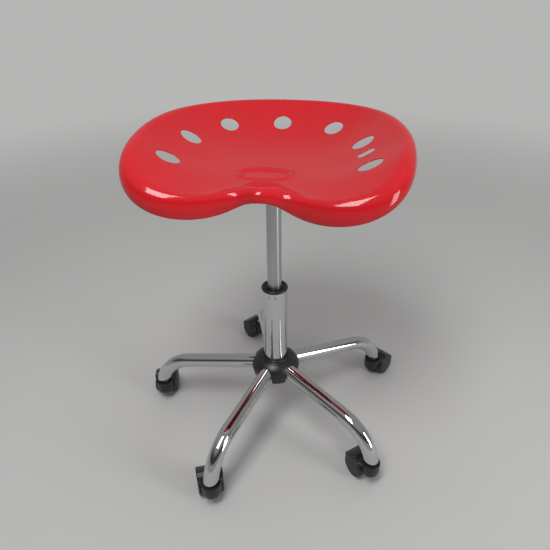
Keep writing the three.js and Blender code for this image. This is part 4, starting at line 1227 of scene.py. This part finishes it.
def build_casters(context):
    """Hoods and wheels of the five casters, each turned from its stem towards its own axle."""
    s, base = context.scene.stool_caster, context.scene.stool_base
    hood = [hood_part(s)] + web_parts(s)
    right = moved(lathe(wheel_outline(s), sides=72), lying("Y", s.trail, 0, s.wheel_radius))
    left = right[0] * (1, -1, 1), right[1][:, ::-1]
    for number, azimuth in enumerate(leg_azimuths(base), 1):
        foot = LIFT_AXIS + base.foot * np.array([np.cos(azimuth), np.sin(azimuth)])
        axle = middle_of(f"caster_axle_{number}")[:2] - foot
        place = upright_turn(np.arctan2(axle[1], axle[0]), *foot)
        # Each hood's second finish is the near-black painted shadow on its cup's floor.
        make_piece(f"hood_{number}", [moved(part, place) for part in hood], f"caster_{number}",
                   "satin_plastic", f"caster_hood_{number}", crease=45, second=painted_shadow_black)
        for side, wheel in (("left", left), ("right", right)):
            make_piece(f"wheel_{number}_{side}", [moved(wheel, place)], f"wheel_{number}_{side}",
                       "black_plastic", f"caster_wheel_{number}_{side}", crease=45)


# Nodes that stay

def finish_nodes():
    """Gives each CAD node the finish of its record slot."""
    slots = {part["node"]: part["material_slot"] for part in frame["record"]["subparts"]}
    for name, node in frame["nodes"].items():
        finish = FINISHES[slots[name]]()
        if not node.data.materials:
            node.data.materials.append(finish)
        for place in node.material_slots:
            place.material = finish


# Stage

# Half the side of the square floor
FLOOR_REACH = 14.0


def stand(thing, right, up, place):
    """Puts an object at a place, with its +X axis to the right, its +Y axis up and its +Z axis backwards."""
    axes = np.column_stack([right, up, np.cross(right, up)])
    thing.matrix_world = Matrix([[*row, shift] for row, shift in zip(axes, place)] + [[0, 0, 0, 1]])


def area_lamp(name, place, target, size, power):
    """A rectangular area lamp that looks from its place towards a target."""
    data = bpy.data.lights.new(name, "AREA")
    data.shape, data.size, data.size_y, data.energy = "RECTANGLE", *size, power
    look = np.array(target) - np.array(place)
    look = look / np.linalg.norm(look)
    right = np.cross(look, (0, 0, 1))
    right /= np.linalg.norm(right)
    lamp = link(name, data)
    stand(lamp, right, np.cross(right, look), place)
    return lamp


def build_camera(s):
    """The camera: its right and up axes from the pitch, turned by the roll and then by the heading."""
    right, up = np.array([1.0, 0, 0]), np.array([0, np.sin(s.pitch), np.cos(s.pitch)])
    rolled_right = np.cos(s.roll) * right + np.sin(s.roll) * up
    rolled_up = np.cos(s.roll) * up - np.sin(s.roll) * right
    heading = np.array(Matrix.Rotation(s.heading, 3, "Z"))
    data = bpy.data.cameras.new("Camera")
    data.lens, data.sensor_width, data.sensor_fit = s.lens, 36.0, "HORIZONTAL"
    data.clip_start, data.clip_end = 0.02, 100.0
    camera = link("Camera", data)
    stand(camera, heading @ rolled_right, heading @ rolled_up, s.camera)
    bpy.context.scene.camera = camera


def floor_finish(s):
    """Pale smooth floor with a faint trowelled cloud, far off an even tone to camera and mirror rays."""
    tone, fade, cloud = np.array(s.floor), (0.9, 3.0), 0.95

    def build(tree):
        marks = handling(tree, 1.6, 9.0)
        place = wire(tree, "ShaderNodeTexCoord").outputs["Object"]
        away = wire(tree, "ShaderNodeVectorMath", {0: place}, operation="LENGTH").outputs["Value"]
        light = wire(tree, "ShaderNodeLightPath").outputs
        seen = worked(tree, "ADD", light["Is Camera Ray"], light["Is Glossy Ray"])
        seen = worked(tree, "ADD", seen, light["Is Transmission Ray"], clamp=True)
        factor = worked(tree, "MULTIPLY", seen, ramp(tree, away, fade))
        even = wire(tree, "ShaderNodeEmission", {"Color": (*s.far_floor, 1)}).outputs[0]
        shader, result = tree.nodes["Principled BSDF"], tree.nodes["Material Output"]
        both = wire(tree, "ShaderNodeMixShader", {0: factor, 1: shader.outputs[0], 2: even}).outputs[0]
        tree.links.new(both, result.inputs["Surface"])
        return {"Base_Color": blend(tree, marks["Swell"], tone, tone * cloud),
                "Roughness": ramp(tree, marks["Swell"], (0.3, 0.7), (0.8, 0.9))}
    return shaded("Pale floor", build, Specular_IOR_Level=0.2)


def build_surroundings(s):
    """The world's light: an even tone all round and overhead, and a dark band low down behind the camera."""
    world = bpy.data.worlds.new("Surroundings")
    bpy.context.scene.world = world
    world.use_nodes = True
    tree = world.node_tree
    place = wire(tree, "ShaderNodeTexCoord").outputs["Generated"]
    ways = wire(tree, "ShaderNodeSeparateXYZ", {0: place}).outputs
    tone = blend(tree, ramp(tree, ways["Z"], (0.34, 0.60)), s.sky, s.zenith)
    band = worked(tree, "MULTIPLY", ramp(tree, ways["Z"], (0.80, 0.50)), ramp(tree, ways["Z"], (0.20, 0.36)))
    both = worked(tree, "MULTIPLY", ramp(tree, ways["Y"], (0.45, -0.45)), band)
    background = tree.nodes["Background"]
    tree.links.new(blend(tree, both, tone, s.dark), background.inputs["Color"])
    background.inputs["Strength"].default_value = s.strength


def build_stage(context):
    """Floor, surroundings, soft lamps and the camera."""
    s = context.scene.stool_stage
    mesh = bpy.data.meshes.new("floor")
    corners = [(across * FLOOR_REACH, ahead * FLOOR_REACH, 0)
               for across, ahead in ((-1, -1), (1, -1), (1, 1), (-1, 1))]
    mesh.from_pydata(corners, [], [(0, 1, 2, 3)])
    mesh.materials.append(floor_finish(s))
    floor = link("floor", mesh)
    build_surroundings(s)
    x, y = LIFT_AXIS
    area_lamp("Ceiling lamp", (x - 0.38, y - 0.95, 2.4), target=(x, y, 0.5), size=(0.75, 1.25), power=34)
    area_lamp("Window lamp", (x + 2.0, y - 0.9, 1.0), target=(x, y, 0.5), size=(0.6, 1.5), power=20)
    soft = area_lamp("Soft overhead lamp", (x, y + 1.5, 4.5), target=(x, y + 1.0, 0.0), size=(4.0, 3.0),
                     power=35)
    soft.visible_glossy = False
    build_camera(s)
    context.scene.view_settings.view_transform = "Standard"


# Operators and panel

class STOOL_OT_finishes(bpy.types.Operator):
    """Gives every CAD node its procedural finish"""
    bl_idname = "stool.finishes"
    bl_label = "Node finishes"

    def execute(self, context):
        finish_nodes()
        return {"FINISHED"}


class STOOL_OT_seat(bpy.types.Operator):
    """Moulded bucket seat with a rolled rim, seven oval holes, a slot and a raised ring"""
    bl_idname = "stool.seat"
    bl_label = "Bucket seat"

    def execute(self, context):
        build_seat(context)
        return {"FINISHED"}


class STOOL_OT_bracket(bpy.types.Operator):
    """Pressed plate, its bolts and the folded tray under the seat"""
    bl_idname = "stool.bracket"
    bl_label = "Seat bracket"

    def execute(self, context):
        build_bracket(context)
        return {"FINISHED"}


class STOOL_OT_lever(bpy.types.Operator):
    """Release lever with its ribbed grip"""
    bl_idname = "stool.lever"
    bl_label = "Release lever"

    def execute(self, context):
        build_lever(context)
        return {"FINISHED"}


class STOOL_OT_lift(bpy.types.Operator):
    """Inner lift tube, outer column with its crimps, and the collar bush"""
    bl_idname = "stool.lift"
    bl_label = "Lift and column"

    def execute(self, context):
        build_lift(context)
        return {"FINISHED"}


class STOOL_OT_hub(bpy.types.Operator):
    """Domed hub cover with its arched slots"""
    bl_idname = "stool.hub"
    bl_label = "Hub cover"

    def execute(self, context):
        build_hub(context)
        return {"FINISHED"}


class STOOL_OT_legs(bpy.types.Operator):
    """Five bent chromed legs"""
    bl_idname = "stool.legs"
    bl_label = "Legs"

    def execute(self, context):
        build_legs(context)
        return {"FINISHED"}


class STOOL_OT_stems(bpy.types.Operator):
    """Foot sockets and flanged stems"""
    bl_idname = "stool.stems"
    bl_label = "Sockets and stems"

    def execute(self, context):
        build_stems(context)
        return {"FINISHED"}


class STOOL_OT_casters(bpy.types.Operator):
    """Hoods and wheels of the twin-wheel casters"""
    bl_idname = "stool.casters"
    bl_label = "Casters"

    def execute(self, context):
        build_casters(context)
        return {"FINISHED"}


class STOOL_OT_stage(bpy.types.Operator):
    """Pale floor, soft lamps, surroundings and the camera"""
    bl_idname = "stool.stage"
    bl_label = "Stage"

    def execute(self, context):
        build_stage(context)
        return {"FINISHED"}


OPERATORS = (STOOL_OT_finishes, STOOL_OT_seat, STOOL_OT_bracket, STOOL_OT_lever, STOOL_OT_lift, STOOL_OT_hub,
             STOOL_OT_legs, STOOL_OT_stems, STOOL_OT_casters, STOOL_OT_stage)


class STOOL_PT_sidebar(bpy.types.Panel):
    """Lists the stool's pieces and their settings"""
    bl_idname = "STOOL_PT_sidebar"
    bl_label = "Tractor seat stool"
    bl_space_type = "VIEW_3D"
    bl_region_type = "UI"
    bl_category = "Stool"

    def draw(self, context):
        for kind in OPERATORS:
            self.layout.operator(kind.bl_idname)
        for name, group in SETTINGS.items():
            box = self.layout.box()
            box.label(text=group.__name__)
            for key in group.__annotations__:
                box.prop(getattr(context.scene, name), key)


def register():
    """Registers the settings, the operators and the panel."""
    for name, group in SETTINGS.items():
        bpy.utils.register_class(group)
        setattr(bpy.types.Scene, name, PointerProperty(type=group))
    for kind in OPERATORS + (STOOL_PT_sidebar,):
        bpy.utils.register_class(kind)


def unregister():
    """Takes them out again, last first."""
    for kind in reversed(OPERATORS + (STOOL_PT_sidebar,)):
        bpy.utils.unregister_class(kind)
    for name, group in reversed(list(SETTINGS.items())):
        delattr(bpy.types.Scene, name)
        bpy.utils.unregister_class(group)


def main():
    """Builds every piece in order."""
    register()
    for kind in OPERATORS:
        getattr(bpy.ops.stool, kind.bl_idname.split(".")[1])()


if __name__ == "__main__":
    main()
